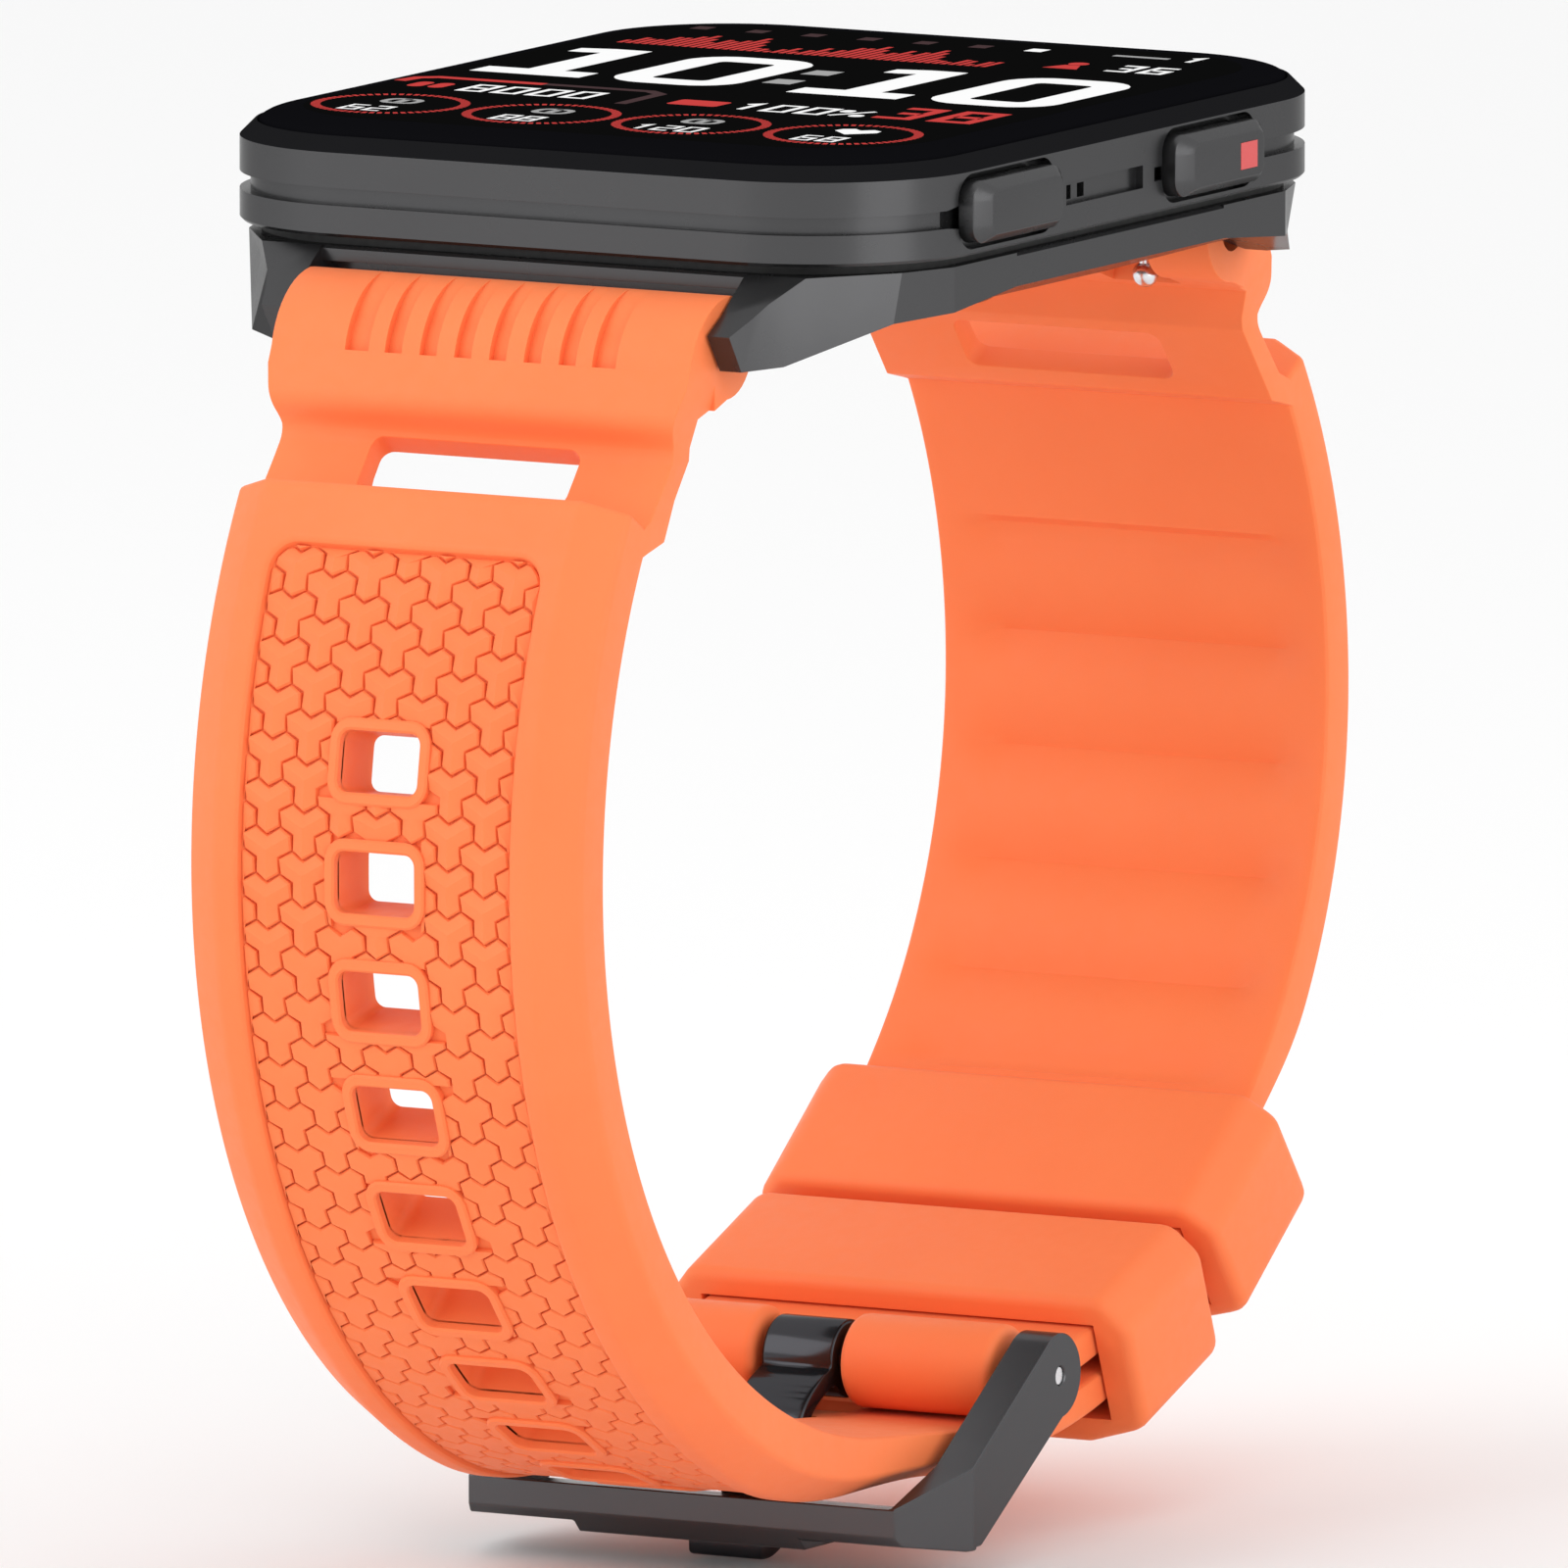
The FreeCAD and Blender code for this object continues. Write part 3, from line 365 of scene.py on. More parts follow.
def matt_black(name, colour, roughness):
    """Black without gloss, so that a low view of it doesn't turn grey."""
    return plain_material(name, colour, roughness, 0.0, 0.0, Specular_IOR_Level=0.0)


def plain_material(name, colour, roughness, metallic=0.0, grain=0.1, **extra):
    """Simple moulded or plated finish with faint variation."""
    least, below, above = 0.02, 0.04, 0.05
    material = new_material(name, colour, roughness, metallic, **extra)
    vary_roughness(material, 3.0, max(roughness - below, least), roughness + above)
    if grain:
        add_bump(material, 8.0, grain, 0.02)
    return material


RUBBER = strap_material()
CASE_METAL = metal_material("case_gunmetal", (0.078, 0.078, 0.080), 0.26, 0.05)
BUCKLE_METAL = metal_material("buckle_gunmetal", (0.095, 0.095, 0.099), 0.24, 0.03)
TANG_METAL = metal_material("tang_polished", (0.05, 0.05, 0.055), 0.16, 0.02)
STEEL = plain_material("bright_steel", (0.75, 0.75, 0.77), 0.24, 1.0, 0.0)
SEAL = plain_material("seal_rubber", (0.006, 0.006, 0.006), 0.6)
GLASS = matt_black("cover_glass", (0.004, 0.004, 0.005), 0.1)
RIM_BLACK = matt_black("rim_black", (0.010, 0.010, 0.011), 0.3)
DISPLAY_BLACK = matt_black("display_black", (0.0035, 0.0035, 0.0035), 0.3)
SENSOR = plain_material("sensor_glass", (0.006, 0.006, 0.008), 0.08, 0.0, 0.0, Coat_Weight=0.4)
RED = plain_material("accent_red", (0.60, 0.06, 0.06), 0.4)
GOLD = plain_material("contact_gold", (0.8, 0.55, 0.2), 0.22, 1.0, 0.0)
BOARD = plain_material("circuit_board", (0.012, 0.09, 0.04), 0.5)
PLASTIC = plain_material("black_plastic", (0.012, 0.012, 0.012), 0.55)
WRAP = plain_material("battery_wrap", (0.05, 0.05, 0.07), 0.4)
CERAMIC = plain_material("antenna_ceramic", (0.55, 0.5, 0.4), 0.6)

BY_SLOT = {"strap_rubber": RUBBER, "case_metal": CASE_METAL, "buckle_metal": BUCKLE_METAL,
           "bright_steel": STEEL, "seal_rubber": SEAL, "cover_glass": GLASS, "sensor_glass": SENSOR,
           "display_black": DISPLAY_BLACK, "accent_red": RED, "contact_gold": GOLD,
           "circuit_board": BOARD, "black_plastic": PLASTIC, "battery_wrap": WRAP,
           "antenna_ceramic": CERAMIC}


def dress_frame():
    """Every CAD node gets the procedural material of its slot."""
    for part in frame["record"]["subparts"]:
        node = frame["nodes"][part["node"]]
        node.data.materials.clear()
        node.data.materials.append(BY_SLOT[part["material_slot"]])


# ---- strap ----
class BandPath:
    """Inner face of one strap half in the YZ plane: arcs about given centres, joined by straight runs.

    A lean is the angle of the outward direction from straight down. side is +1 for 12 o'clock.
    Each arc is (centre, radius, first lean, last lean), with the leans in degrees.
    """

    LEAST_RUN = 0.01

    def __init__(self, side, arcs):
        self.side = side
        self.runs = []
        for centre, radius, first, last in arcs:
            start = self.on_circle(centre, radius, math.radians(first))
            if self.runs:
                before = self.end
                gap = math.dist(before, start)
                if gap > self.LEAST_RUN:
                    self.runs.append(("line", before, start, math.radians(first), gap))
            length = radius * math.radians(first - last)
            self.runs.append(("arc", centre, radius, math.radians(first), length))
            self.end = self.on_circle(centre, radius, math.radians(last))
        self.length = sum(run[4] for run in self.runs)

    def on_circle(self, centre, radius, lean):
        """(y, z) of the point of a circle where the outward direction has this lean."""
        return (centre[0] + self.side * radius * math.sin(lean), centre[1] - radius * math.cos(lean))

    def at(self, distance):
        """Point and lean at a distance from the top; straight on beyond either end."""
        for run in self.runs:
            kind, a, b, lean, length = run
            if distance <= length or run is self.runs[-1]:
                over = max(distance - length, 0) + min(distance, 0)
                inside = min(max(distance, 0), length)
                if kind == "line":
                    part = inside / length
                    point = (a[0] + (b[0] - a[0]) * part, a[1] + (b[1] - a[1]) * part)
                else:
                    lean -= inside / b
                    point = self.on_circle(a, b, lean)
                point = (point[0] - self.side * math.cos(lean) * over, point[1] - math.sin(lean) * over)
                return point, lean
            distance -= length

    def offset(self, distance, height):
        """(y, z) of the point that stands height outside the inner face."""
        point, lean = self.at(distance)
        return (point[0] + self.side * math.sin(lean) * height, point[1] - math.cos(lean) * height)

    def distance_to(self, test):
        """First distance at which test(point) is true."""
        step = 0.02
        steps = range(int(self.length / step))
        return next((i * step for i in steps if test(self.at(i * step)[0])), self.length)


def common_lean(centre, radius, lap_radius):
    """Lean, in degrees, of the straight run that touches a 6 o'clock arc and the overlap arc."""
    dy = -(centre[0] - LAP_CENTRE[0])
    dz = centre[1] - LAP_CENTRE[1]
    return math.degrees(math.asin((lap_radius - radius) / math.hypot(dy, dz)) - math.atan2(-dz, dy))


def hole_strap_path():
    """Inner face of the 6 o'clock strap."""
    widest_y, widest_z, upper_r, lower_r = 34.6, -22.6, 30.9, 29.0
    top_z, tail_lean = -6.7, -42
    lower = (lower_r - widest_y, widest_z)
    top = 90 + math.degrees(math.asin((top_z - widest_z) / upper_r))
    lean = common_lean(lower, lower_r, OUTER_LAP)
    return BandPath(-1, [((upper_r - widest_y, widest_z), upper_r, top, 90), (lower, lower_r, 90, lean),
                         (LAP_CENTRE, OUTER_LAP, lean, tail_lean)])


def buckle_strap_path():
    """Inner face of the 12 o'clock strap."""
    upper_r, lower_r, join, top_z = 27.5, 25.7, 50, -6.84
    back, turn = INNER_LAP - lower_r, math.radians(join)
    lower = (LAP_CENTRE[0] + back * math.sin(turn), LAP_CENTRE[1] - back * math.cos(turn))
    upper = (lower[0] + lower_r - upper_r, lower[1])
    top = 90 + math.degrees(math.asin((top_z - upper[1]) / upper_r))
    pin_lean = math.degrees(math.asin((PIN_Y - LAP_CENTRE[0]) / INNER_LAP))
    return BandPath(1, [(upper, upper_r, top, 90), (lower, lower_r, 90, join),
                        (LAP_CENTRE, INNER_LAP, join, pin_lean)])


def eased(value, start, end):
    """0 before start, 1 after end, smooth between."""
    part = min(max((value - start) / (end - start), 0), 1)
    return part * part * (3 - 2 * part)


def flat_strap(length):
    """Six-sided strap laid flat: x across, y along the inner face, z outward."""
    half, flat = STRAP_W / 2, STRAP_FLAT / 2
    ring = [(-half, 0), (half, 0), (half, STRAP_SIDE), (flat, STRAP_T), (-flat, STRAP_T),
            (-half, STRAP_SIDE)]
    return prism([(x, 0, z) for x, z in ring], (0, length, 0), "band")


def plug(hx, hy, radius, y, z0, z1, steps=6):
    """Upright rounded-rectangle cutter on the flat strap."""
    ring = [(px, py, z0) for px, py in rounded_rectangle(hx, hy, radius, steps, 0, y)]
    return prism(ring, (0, 0, z1 - z0), "plug")


def sliced(obj, y_step, length, xs=()):
    """Divides a flat strap along its length, and across at each x in xs."""
    bm = bmesh.new()
    bm.from_mesh(obj.data)
    planes = [((0, y_step * i, 0), (0, 1, 0)) for i in range(1, int(length / y_step) + 1)]
    planes += [((x, 0, 0), (1, 0, 0)) for x in xs]
    for place, normal in planes:
        geometry = bm.verts[:] + bm.edges[:] + bm.faces[:]
        bmesh.ops.bisect_plane(bm, geom=geometry, plane_co=place, plane_no=normal, dist=1e-5)
    bm.to_mesh(obj.data)
    bm.free()


def bent(obj, path, thins):
    """Wraps a flat strap round its path; it thins to the overlap's thickness between two distances."""
    for vertex in obj.data.vertices:
        x, s, h = vertex.co
        h *= 1 + (LAP_T / STRAP_T - 1) * eased(s, *thins)
        y, z = path.offset(s, h)
        vertex.co = (x, y, z)
    bm = bmesh.new()
    bm.from_mesh(obj.data)
    bmesh.ops.recalc_face_normals(bm, faces=bm.faces)
    bm.to_mesh(obj.data)
    bm.free()


# tri-lobed tiles: three hexagons round one corner, which tile the plane
TILE = 0.732
TILE_LIFT = 0.27
TILE_GAP = 0.04
PANEL_X = 7.1
PANEL_CORNER = 1.3
PANEL_START = 2.75
PANEL_END = 74.0
PANEL_DEPTH = 0.55
ALONG = 0.908


def tile_outline():
    """Twelve corners of one tile about its centre, drawn in by the gap."""
    hexes = [(0, -TILE), (TILE * math.sqrt(0.75), TILE / 2), (-TILE * math.sqrt(0.75), TILE / 2)]
    corners = []
    for k in range(3):
        cx, cy = hexes[k]
        heading = math.atan2(cy, cx)
        for turn in (-120, -60, 0, 60):
            a = heading + math.radians(turn)
            corners.append((cx + TILE * math.cos(a), cy + TILE * math.sin(a)))
    unique = []
    for p in corners:
        if not any(math.dist(p, q) < 1e-6 for q in unique):
            unique.append(p)
    inset = []
    count = len(unique)
    for i, p in enumerate(unique):
        a, b = Vector(unique[i - 1]), Vector(unique[(i + 1) % count])
        here = Vector(p)
        n1 = Vector(((here - a).y, -(here - a).x)).normalized()
        n2 = Vector(((b - here).y, -(b - here).x)).normalized()
        middle = (n1 + n2).normalized()
        inset.append(here - middle * TILE_GAP / max(middle.dot(n1), 0.3))
    return [(p.x, p.y) for p in inset]


def clipped(points, inside, crossing):
    """Sutherland-Hodgman clip of a polygon by one half-plane."""
    result = []
    for i, p in enumerate(points):
        before = points[i - 1]
        if inside(p) != inside(before):
            result.append(crossing(before, p))
        if inside(p):
            result.append(p)
    return result


def clip_half(points, nx, ny, limit):
    """Keeps the part of a polygon where nx*x + ny*y <= limit."""
    def side(p):
        return nx * p[0] + ny * p[1] - limit

    def crossing(a, b):
        t = side(a) / (side(a) - side(b))
        return (a[0] + (b[0] - a[0]) * t, a[1] + (b[1] - a[1]) * t)

    return clipped(points, lambda p: side(p) <= 0, crossing) if points else points


def clip_panel(points, hx, y0, y1, radius):
    """Clips a polygon to the recessed panel, corners included."""
    for nx, ny, limit in ((1, 0, hx), (-1, 0, hx), (0, 1, y1), (0, -1, -y0)):
        points = clip_half(points, nx, ny, limit)
    for sx in (1, -1):
        for cy, sy in ((y0 + radius, -1), (y1 - radius, 1)):
            cx = sx * (hx - radius)
            for turn in (20, 45, 70):
                nx, ny = sx * math.cos(math.radians(turn)), sy * math.sin(math.radians(turn))
                points = clip_half(points, nx, ny, nx * cx + ny * cy + radius)
    return points


def tile_height(dx, dy, relief):
    """Height above the panel's floor: ridges run from the centre out along the three lobes."""
    reach = math.hypot(dx, dy)
    heading = math.atan2(dy, dx)
    off = min(abs((heading - math.radians(a) + math.pi) % math.tau - math.pi) for a in (-90, 30, 150))
    return TILE_LIFT + relief * (0.15 - 0.36 * reach * math.sin(off) - 0.03 * reach)


def tile_field(hole_places):
    """Every tile of the panel, clipped to its edge and to the hole rims, on the flat strap."""
    outline = tile_outline()
    base = STRAP_T - PANEL_DEPTH
    bm = bmesh.new()
    column = 1.5 * math.sqrt(3) * TILE
    row = 3 * TILE
    columns = int(PANEL_X / column) + 2
    rows = int((PANEL_END - PANEL_START) / ALONG / row) + 2
    edge = 0.08
    for i in range(-columns, columns + 1):
        for j in range(-1, rows + 1):
            cx = i * column
            cy = (j + (0.5 if i % 2 else 0)) * row
            points = [(cx + px, PANEL_START + (cy - py) * ALONG) for px, py in outline]
            points = clip_panel(points, PANEL_X - edge, PANEL_START + edge, PANEL_END - edge, PANEL_CORNER)
            mid_y = PANEL_START + cy * ALONG
            for hy in hole_places:
                over_x = abs(cx) - HOLE_X - 0.3
                over_y = abs(mid_y - hy) - HOLE_S - 0.3
                if max(over_x, over_y) > 1.6:
                    continue
                if over_x > over_y:
                    sign = 1 if cx > 0 else -1
                    points = clip_half(points, -sign, 0, -(HOLE_X + 0.25))
                else:
                    sign = 1 if mid_y > hy else -1
                    points = clip_half(points, 0, -sign, -(sign * hy + HOLE_S + 0.25))
            tidy = [p for k, p in enumerate(points) if math.dist(p, points[k - 1]) > 1e-4]
            if len(tidy) < 3:
                continue
            relief = 1 - 0.8 * eased(mid_y, PANEL_START + 8, PANEL_START + 32)
            add_tile(bm, tidy, (cx, mid_y), base, relief)
    return make_object("tiles", bm)


def add_tile(bm, points, centre, base, relief):
    """One tile: a low faceted top, a small chamfer and upright sides that reach under the floor."""
    count = len(points)
    chamfer = 0.08
    sunk = base - 0.12
    middle = Vector((sum(p[0] for p in points) / count, sum(p[1] for p in points) / count))
    whole = count == 12
    hub = Vector(centre) if whole else middle

    def height(p):
        return base + tile_height(p[0] - centre[0], -(p[1] - centre[1]) / ALONG, relief)

    low = [bm.verts.new((p[0], p[1], sunk)) for p in points]
    rim = [bm.verts.new((p[0], p[1], height(p) - chamfer)) for p in points]
    top = []
    for p in points:
        inward = hub - Vector(p)
        inward = inward.normalized() * min(chamfer, inward.length * 0.3)
        q = (p[0] + inward.x, p[1] + inward.y)
        top.append(bm.verts.new((*q, height(q))))
    peak = bm.verts.new((hub.x, hub.y, height(hub)))
    for i in range(count):
        j = (i + 1) % count
        bm.faces.new((low[i], low[j], rim[j], rim[i]))
        bm.faces.new((rim[i], rim[j], top[j], top[i]))
        bm.faces.new((top[i], top[j], peak))
    bm.faces.new(list(reversed(low)))


def hole_rim(y):
    """Raised rim round one adjustment hole, on the flat strap."""
    top = STRAP_T - 0.1
    low = STRAP_T - PANEL_DEPTH - 0.1
    levels = [(0.0, low), (0.0, top - 0.1), (0.1, top), (0.42, top), (0.52, top - 0.1), (0.52, low)]
    bm = bmesh.new()
    rings = []
    for grow, z in levels:
        ring = rounded_rectangle(HOLE_X + grow, HOLE_S + grow, HOLE_CORNER + grow, 6, 0, y)
        rings.append([bm.verts.new((px, py, z)) for px, py in ring])
    count = len(rings[0])
    for k in range(len(rings)):
        low_ring, high_ring = rings[k], rings[(k + 1) % len(rings)]
        for i in range(count):
            j = (i + 1) % count
            bm.faces.new((low_ring[i], low_ring[j], high_ring[j], high_ring[i]))
    bmesh.ops.recalc_face_normals(bm, faces=bm.faces)
    return make_object("rim", bm)


def neck_point(along, across):
    """(y, z) in the neck's own directions, from the centre of its slot."""
    down = (math.cos(NECK_SLOPE), -math.sin(NECK_SLOPE))
    out = (math.sin(NECK_SLOPE), math.cos(NECK_SLOPE))
    return (NECK[0] + down[0] * along + out[0] * across, NECK[1] + down[1] * along + out[1] * across)


def arc_points(a, b, c, steps):
    """Points of the circle through three (y, z) points, a to c."""
    ax, ay = a
    bx, by = b
    cx, cy = c
    d = 2 * (ax * (by - cy) + bx * (cy - ay) + cx * (ay - by))
    aa, bb, cc = ax * ax + ay * ay, bx * bx + by * by, cx * cx + cy * cy
    ux = (aa * (by - cy) + bb * (cy - ay) + cc * (ay - by)) / d
    uy = (aa * (cx - bx) + bb * (ax - cx) + cc * (bx - ax)) / d
    radius = math.dist((ux, uy), a)
    first = math.atan2(ay - uy, ax - ux)
    last = math.atan2(cy - uy, cx - ux)
    via = math.atan2(by - uy, bx - ux)
    if not (first < via < last or first > via > last):
        last += math.tau if last < first else -math.tau
    return [(ux + radius * math.cos(first + (last - first) * i / steps),
             uy + radius * math.sin(first + (last - first) * i / steps)) for i in range(steps + 1)]


def filleted(points, radii):
    """Polygon whose corner i is rounded by radii[i]."""
    result = []
    for i, here in enumerate(points):
        radius = radii.get(i, 0)
        if not radius:
            result.append(here)
            continue
        before, after = Vector(points[i - 1]), Vector(points[(i + 1) % len(points)])
        corner = Vector(here)
        one, two = (before - corner).normalized(), (after - corner).normalized()
        half_turn = one.angle(two) / 2
        reach = radius / math.tan(half_turn)
        reach = min(reach, (before - corner).length * 0.48, (after - corner).length * 0.48)
        first, last = corner + one * reach, corner + two * reach
        for k in range(7):
            t = k / 6
            p = first * (1 - t) ** 2 + corner * 2 * t * (1 - t) + last * t ** 2
            result.append((p.x, p.y))
    return result


def lug_end(side, path):
    """Moulded end that rolls round the spring bar, runs down the neck and roots in the band."""
    under = (BAR_Y, BAR_Z - END_ROLL)
    top = (BAR_Y, BAR_Z + END_ROLL)
    start = path.offset(0, 0)
    y, z = abs(start[0]), start[1]
    outline = arc_points(under, (BAR_Y - END_ROLL, BAR_Z), top, 20)[:-1]
    outline += arc_points(top, END_CREST, END_SHOULDER, 10)
    bulge = len(outline)
    outline += [(28.9, -1.9), (27.9, -3.4), neck_point(0, NECK_T / 2), neck_point(2.0, NECK_T / 2 + 0.1),
                (y + 1.4, z - 0.1), (y + 1.7, z - 1.3), (y + 0.35, z - 0.95), (y - 1.2, z - 0.6),
                neck_point(0, -NECK_T / 2), (26.65, -3.8), (26.4, -1.9)]
    outline = filleted(outline, {bulge: 1.3, bulge + 1: 1.2})
    half = 11.0
    body = prism([(-half, side * py, pz) for py, pz in outline], (2 * half, 0, 0), "lug_end")
    # the bulge narrows to the band's width
    for sign in (-1, 1):
        wedge = [(14, -0.4), (half, -0.4), (STRAP_W / 2, -3.2), (STRAP_W / 2, -12), (14, -12)]
        trim = prism([(sign * x, side * 25.5, z) for x, z in wedge], (0, side * 11, 0), "trim")
        boolean(body, trim)
    boolean(body, slot_cutter(side))
    bevel(body, 0.38, 4, 28)
    return body


def slot_cutter(side):
    """Vent slot through the neck."""
    points = rounded_rectangle(5.5, 1.5, 0.6, 5)
    corners = []
    for px, along in points:
        py, pz = neck_point(along, -3)
        corners.append((px, side * py, pz))
    far = neck_point(0, 3)
    near = neck_point(0, -3)
    return prism(corners, (0, side * (far[0] - near[0]), far[1] - near[1]), "slot")


def knob_room(side):
    """Recess for the spring bar's release knob, open toward the case."""
    near, far = BAR_Y - 1.3, BAR_Y + 1.3
    outline = [(BAR_Y - 4, -3), (BAR_Y - 4, 0), (near, 0), (near, BAR_Z), (far, BAR_Z), (far, -3)]
    return prism([(4.0, side * y, z) for y, z in outline], (3.6, 0, 0), "room")


def roll_grooves(side):
    """Grooves over the 6 o'clock strap's roll, which deepen from its top and end square below."""
    depth, pitch, width = 0.42, 1.83, 0.9
    end_place, end_width = 3.55 * pitch, 1.25
    tops = arc_points((BAR_Y, BAR_Z + END_ROLL), END_CREST, END_SHOULDER, 14)
    inner, outer = [], []
    for i, p in enumerate(tops):
        before = tops[max(i - 1, 0)]
        after = tops[min(i + 1, len(tops) - 1)]
        run = math.dist(before, after)
        ny, nz = -(after[1] - before[1]) / run, (after[0] - before[0]) / run
        deep = depth * min(i / 9, 1)
        inner.append((p[0] - ny * deep, p[1] - nz * deep))
        outer.append((p[0] + ny, p[1] + nz))
    loop = inner + outer[::-1]
    spans = [((k - 2.5) * pitch, width) for k in range(6)]
    spans += [(-end_place, end_width), (end_place, end_width)]
    return [prism([(x - w / 2, side * py, pz) for py, pz in loop], (w, 0, 0), "groove") for x, w in spans]


def hole_strap():
    """The 6 o'clock half: lug end, tiled panel, holes with rims and the tail."""
    path = hole_strap_path()
    tang_at = path.distance_to(lambda p: p[1] < -40 and p[0] > TANG_HOLE_Y)
    places = [tang_at + (i - TANG_HOLE) * HOLE_PITCH for i in range(HOLES)]
    band = flat_strap(path.length)
    boolean(band, plug(PANEL_X, (PANEL_END - PANEL_START) / 2, PANEL_CORNER, (PANEL_START + PANEL_END) / 2,
                       STRAP_T - PANEL_DEPTH, STRAP_T + 1, 8))
    bevel(band, STRAP_EDGE, 3)
    for y in places:
        boolean(band, plug(HOLE_X, HOLE_S, HOLE_CORNER, y, -1, STRAP_T + 1))
    sliced(band, 0.6, path.length)
    extras = [tile_field(places)] + [hole_rim(y) for y in places if y < PANEL_END - 3]
    bent(band, path, HOLE_STRAP_THINS)
    for piece in extras:
        bent(piece, path, HOLE_STRAP_THINS)
    end = lug_end(-1, path)
    for cutter in roll_grooves(-1):
        boolean(end, cutter)
    boolean(band, end, "UNION")
    boolean(band, rod_x(LOOSE_BAR_BORE, -BORE_REACH, BORE_REACH, -BAR_Y, BAR_Z))
    boolean(band, knob_room(-1))
    strap = smooth(scaled(joined([band] + extras, "hole_strap")), 30)
    finish_piece(strap, RUBBER, None, "strap_rubber", "hole_strap_band", "hole_strap_lug_end")
    blend_neck(strap, -1)


def blend_neck(strap, side):
    """Works out two points on the line across the thin neck, between the strap's end and the loop, and
    bakes the strap's transform into its mesh.

    The line of the bend is steeper than the neck, so the curled tail lies on the loop's side of it.
    """
    places = []
    for along in (-BEND_REACH, BEND_REACH):
        y = NECK[0] + BEND_LINE[0] * along
        z = NECK[1] + BEND_LINE[1] * along
        places.append((0, side * y * MM, z * MM))
    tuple(places[0])
    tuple(places[1])
    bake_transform(strap)


WAVE_PITCH = 5.3
WAVE_STEP = WAVE_PITCH / 12
WAVE_FIRST, WAVE_COUNT = 20 * WAVE_STEP, 5


def wave(s, x):
    """Depth of the pillowed inner face of the buckle strap, with a crease between pillows."""
    last = WAVE_FIRST + WAVE_COUNT * WAVE_PITCH
    if not WAVE_FIRST - 0.01 < s < last + 0.01:
        return 0.0
    across = 1 - eased(abs(x), 7.0, 9.3)
    ends = eased(s, WAVE_FIRST - 0.9, WAVE_FIRST + 0.9) * (1 - eased(s, last - 0.9, last + 0.9))
    phase = ((s - WAVE_FIRST) / WAVE_PITCH) % 1
    return 0.85 * across * ends * (1 - math.sin(math.pi * phase) ** 0.9)


def buckle_strap():
    """The 12 o'clock half: lug end, waved inner face and the roll round the buckle pin."""
    path = buckle_strap_path()
    band = flat_strap(path.length)
    bevel(band, STRAP_EDGE, 3)
    sliced(band, WAVE_STEP, path.length, [x * 0.8 for x in range(-12, 13)])
    for vertex in band.data.vertices:
        x, s, h = vertex.co
        if h < 0.01:
            vertex.co.z = wave(s, x)
    bent(band, path, BUCKLE_STRAP_THINS)
    pin_z = path.at(path.length)[0][1]
    half = STRAP_W / 2
    gap, soft, deep = TANG_GAP_HALF, PIN_ROLL_ROUND, 4
    corners = [(-gap, 0), (gap, 0), (gap, TANG_GAP_END), (-gap, TANG_GAP_END)]
    boolean(band, prism([(x, y, pin_z - deep) for x, y in corners], (0, 0, 2 * deep), "tang_room"))
    for sign in (-1, 1):
        inner, outer = sign * gap, sign * half
        profile = [(inner, 0), (inner, PIN_ROLL - soft)]
        for i in range(1, 5):
            a = math.radians(90 * i / 4)
            reach = PIN_ROLL - soft + soft * math.sin(a)
            profile.append((inner + sign * soft * (1 - math.cos(a)), reach))
        for i in range(5):
            a = math.radians(90 * i / 4)
            reach = PIN_ROLL - soft + soft * math.cos(a)
            profile.append((outer - sign * soft * (1 - math.sin(a)), reach))
        profile.append((outer, 0))
        boolean(band, lathe_x(profile, PIN_Y, pin_z), "UNION")
    end = lug_end(1, path)
    boolean(band, end, "UNION")
    boolean(band, rod_x(BAR_BORE, -BORE_REACH, BORE_REACH, BAR_Y, BAR_Z))
    boolean(band, rod_x(PIN_BORE, -BORE_REACH, BORE_REACH, PIN_Y, pin_z))
    boolean(band, knob_room(1))
    band.name = "buckle_strap"
    strap = smooth(scaled(band), 30)
    finish_piece(strap, RUBBER, None, "strap_rubber", "buckle_strap_band", "buckle_strap_lug_end")
    blend_neck(strap, 1)


# ---- keepers, buckle, case ----
def keeper(node, lean_degrees):
    """Moulded loop with well-rounded edges and an opening that follows the overlap arc."""
    half_x, half, reach = 12.25, 3.9, 4.0
    middle = 35.3
    lean = math.radians(lean_degrees)
    right = [(half_x - 1.3, half), (half_x, half - 1.5), (half_x, -half + 1.0), (half_x - 3.3, -half)]
    section = filleted(right + [(-x, n) for x, n in reversed(right)], {k: 1.3 for k in range(8)})
    body = prism([(x, -reach, n - middle) for x, n in section], (0, 2 * reach, 0), node + "_loop")
    bevel(body, 0.6, 4, 40)
    opening = []
    for radius, turns in ((32.95, range(-9, 10)), (37.95, range(9, -10, -1))):
        for turn in turns:
            a = math.radians(turn)
            opening.append((-10.45, radius * math.sin(a), -radius * math.cos(a)))
    boolean(body, prism(opening, (20.9, 0, 0), "opening"))
    bevel(body, 0.3, 3, 40)
    body.data.transform(Matrix.Translation((0, *LAP_CENTRE)) @ Matrix.Rotation(lean, 4, "X"))
    finish_piece(smooth(scaled(body), 32), RUBBER, node, "strap_rubber", node)


def keepers():
    """Both keepers."""
    keeper("keeper_lower", 21.1)
    keeper("keeper_upper", 37.2)


def buckle():
    """Buckle frame and tang with small machined edge breaks."""
    frame_piece = smooth(scaled(softened("buckle_frame", 0.3, 1)), 18)
    finish_piece(frame_piece, BUCKLE_METAL, "buckle", "buckle_metal", "buckle_frame")
    tang = smooth(scaled(softened("buckle_tang", 0.2, 3)), 40)
    finish_piece(tang, TANG_METAL, "tang", "buckle_metal", "buckle_tang")


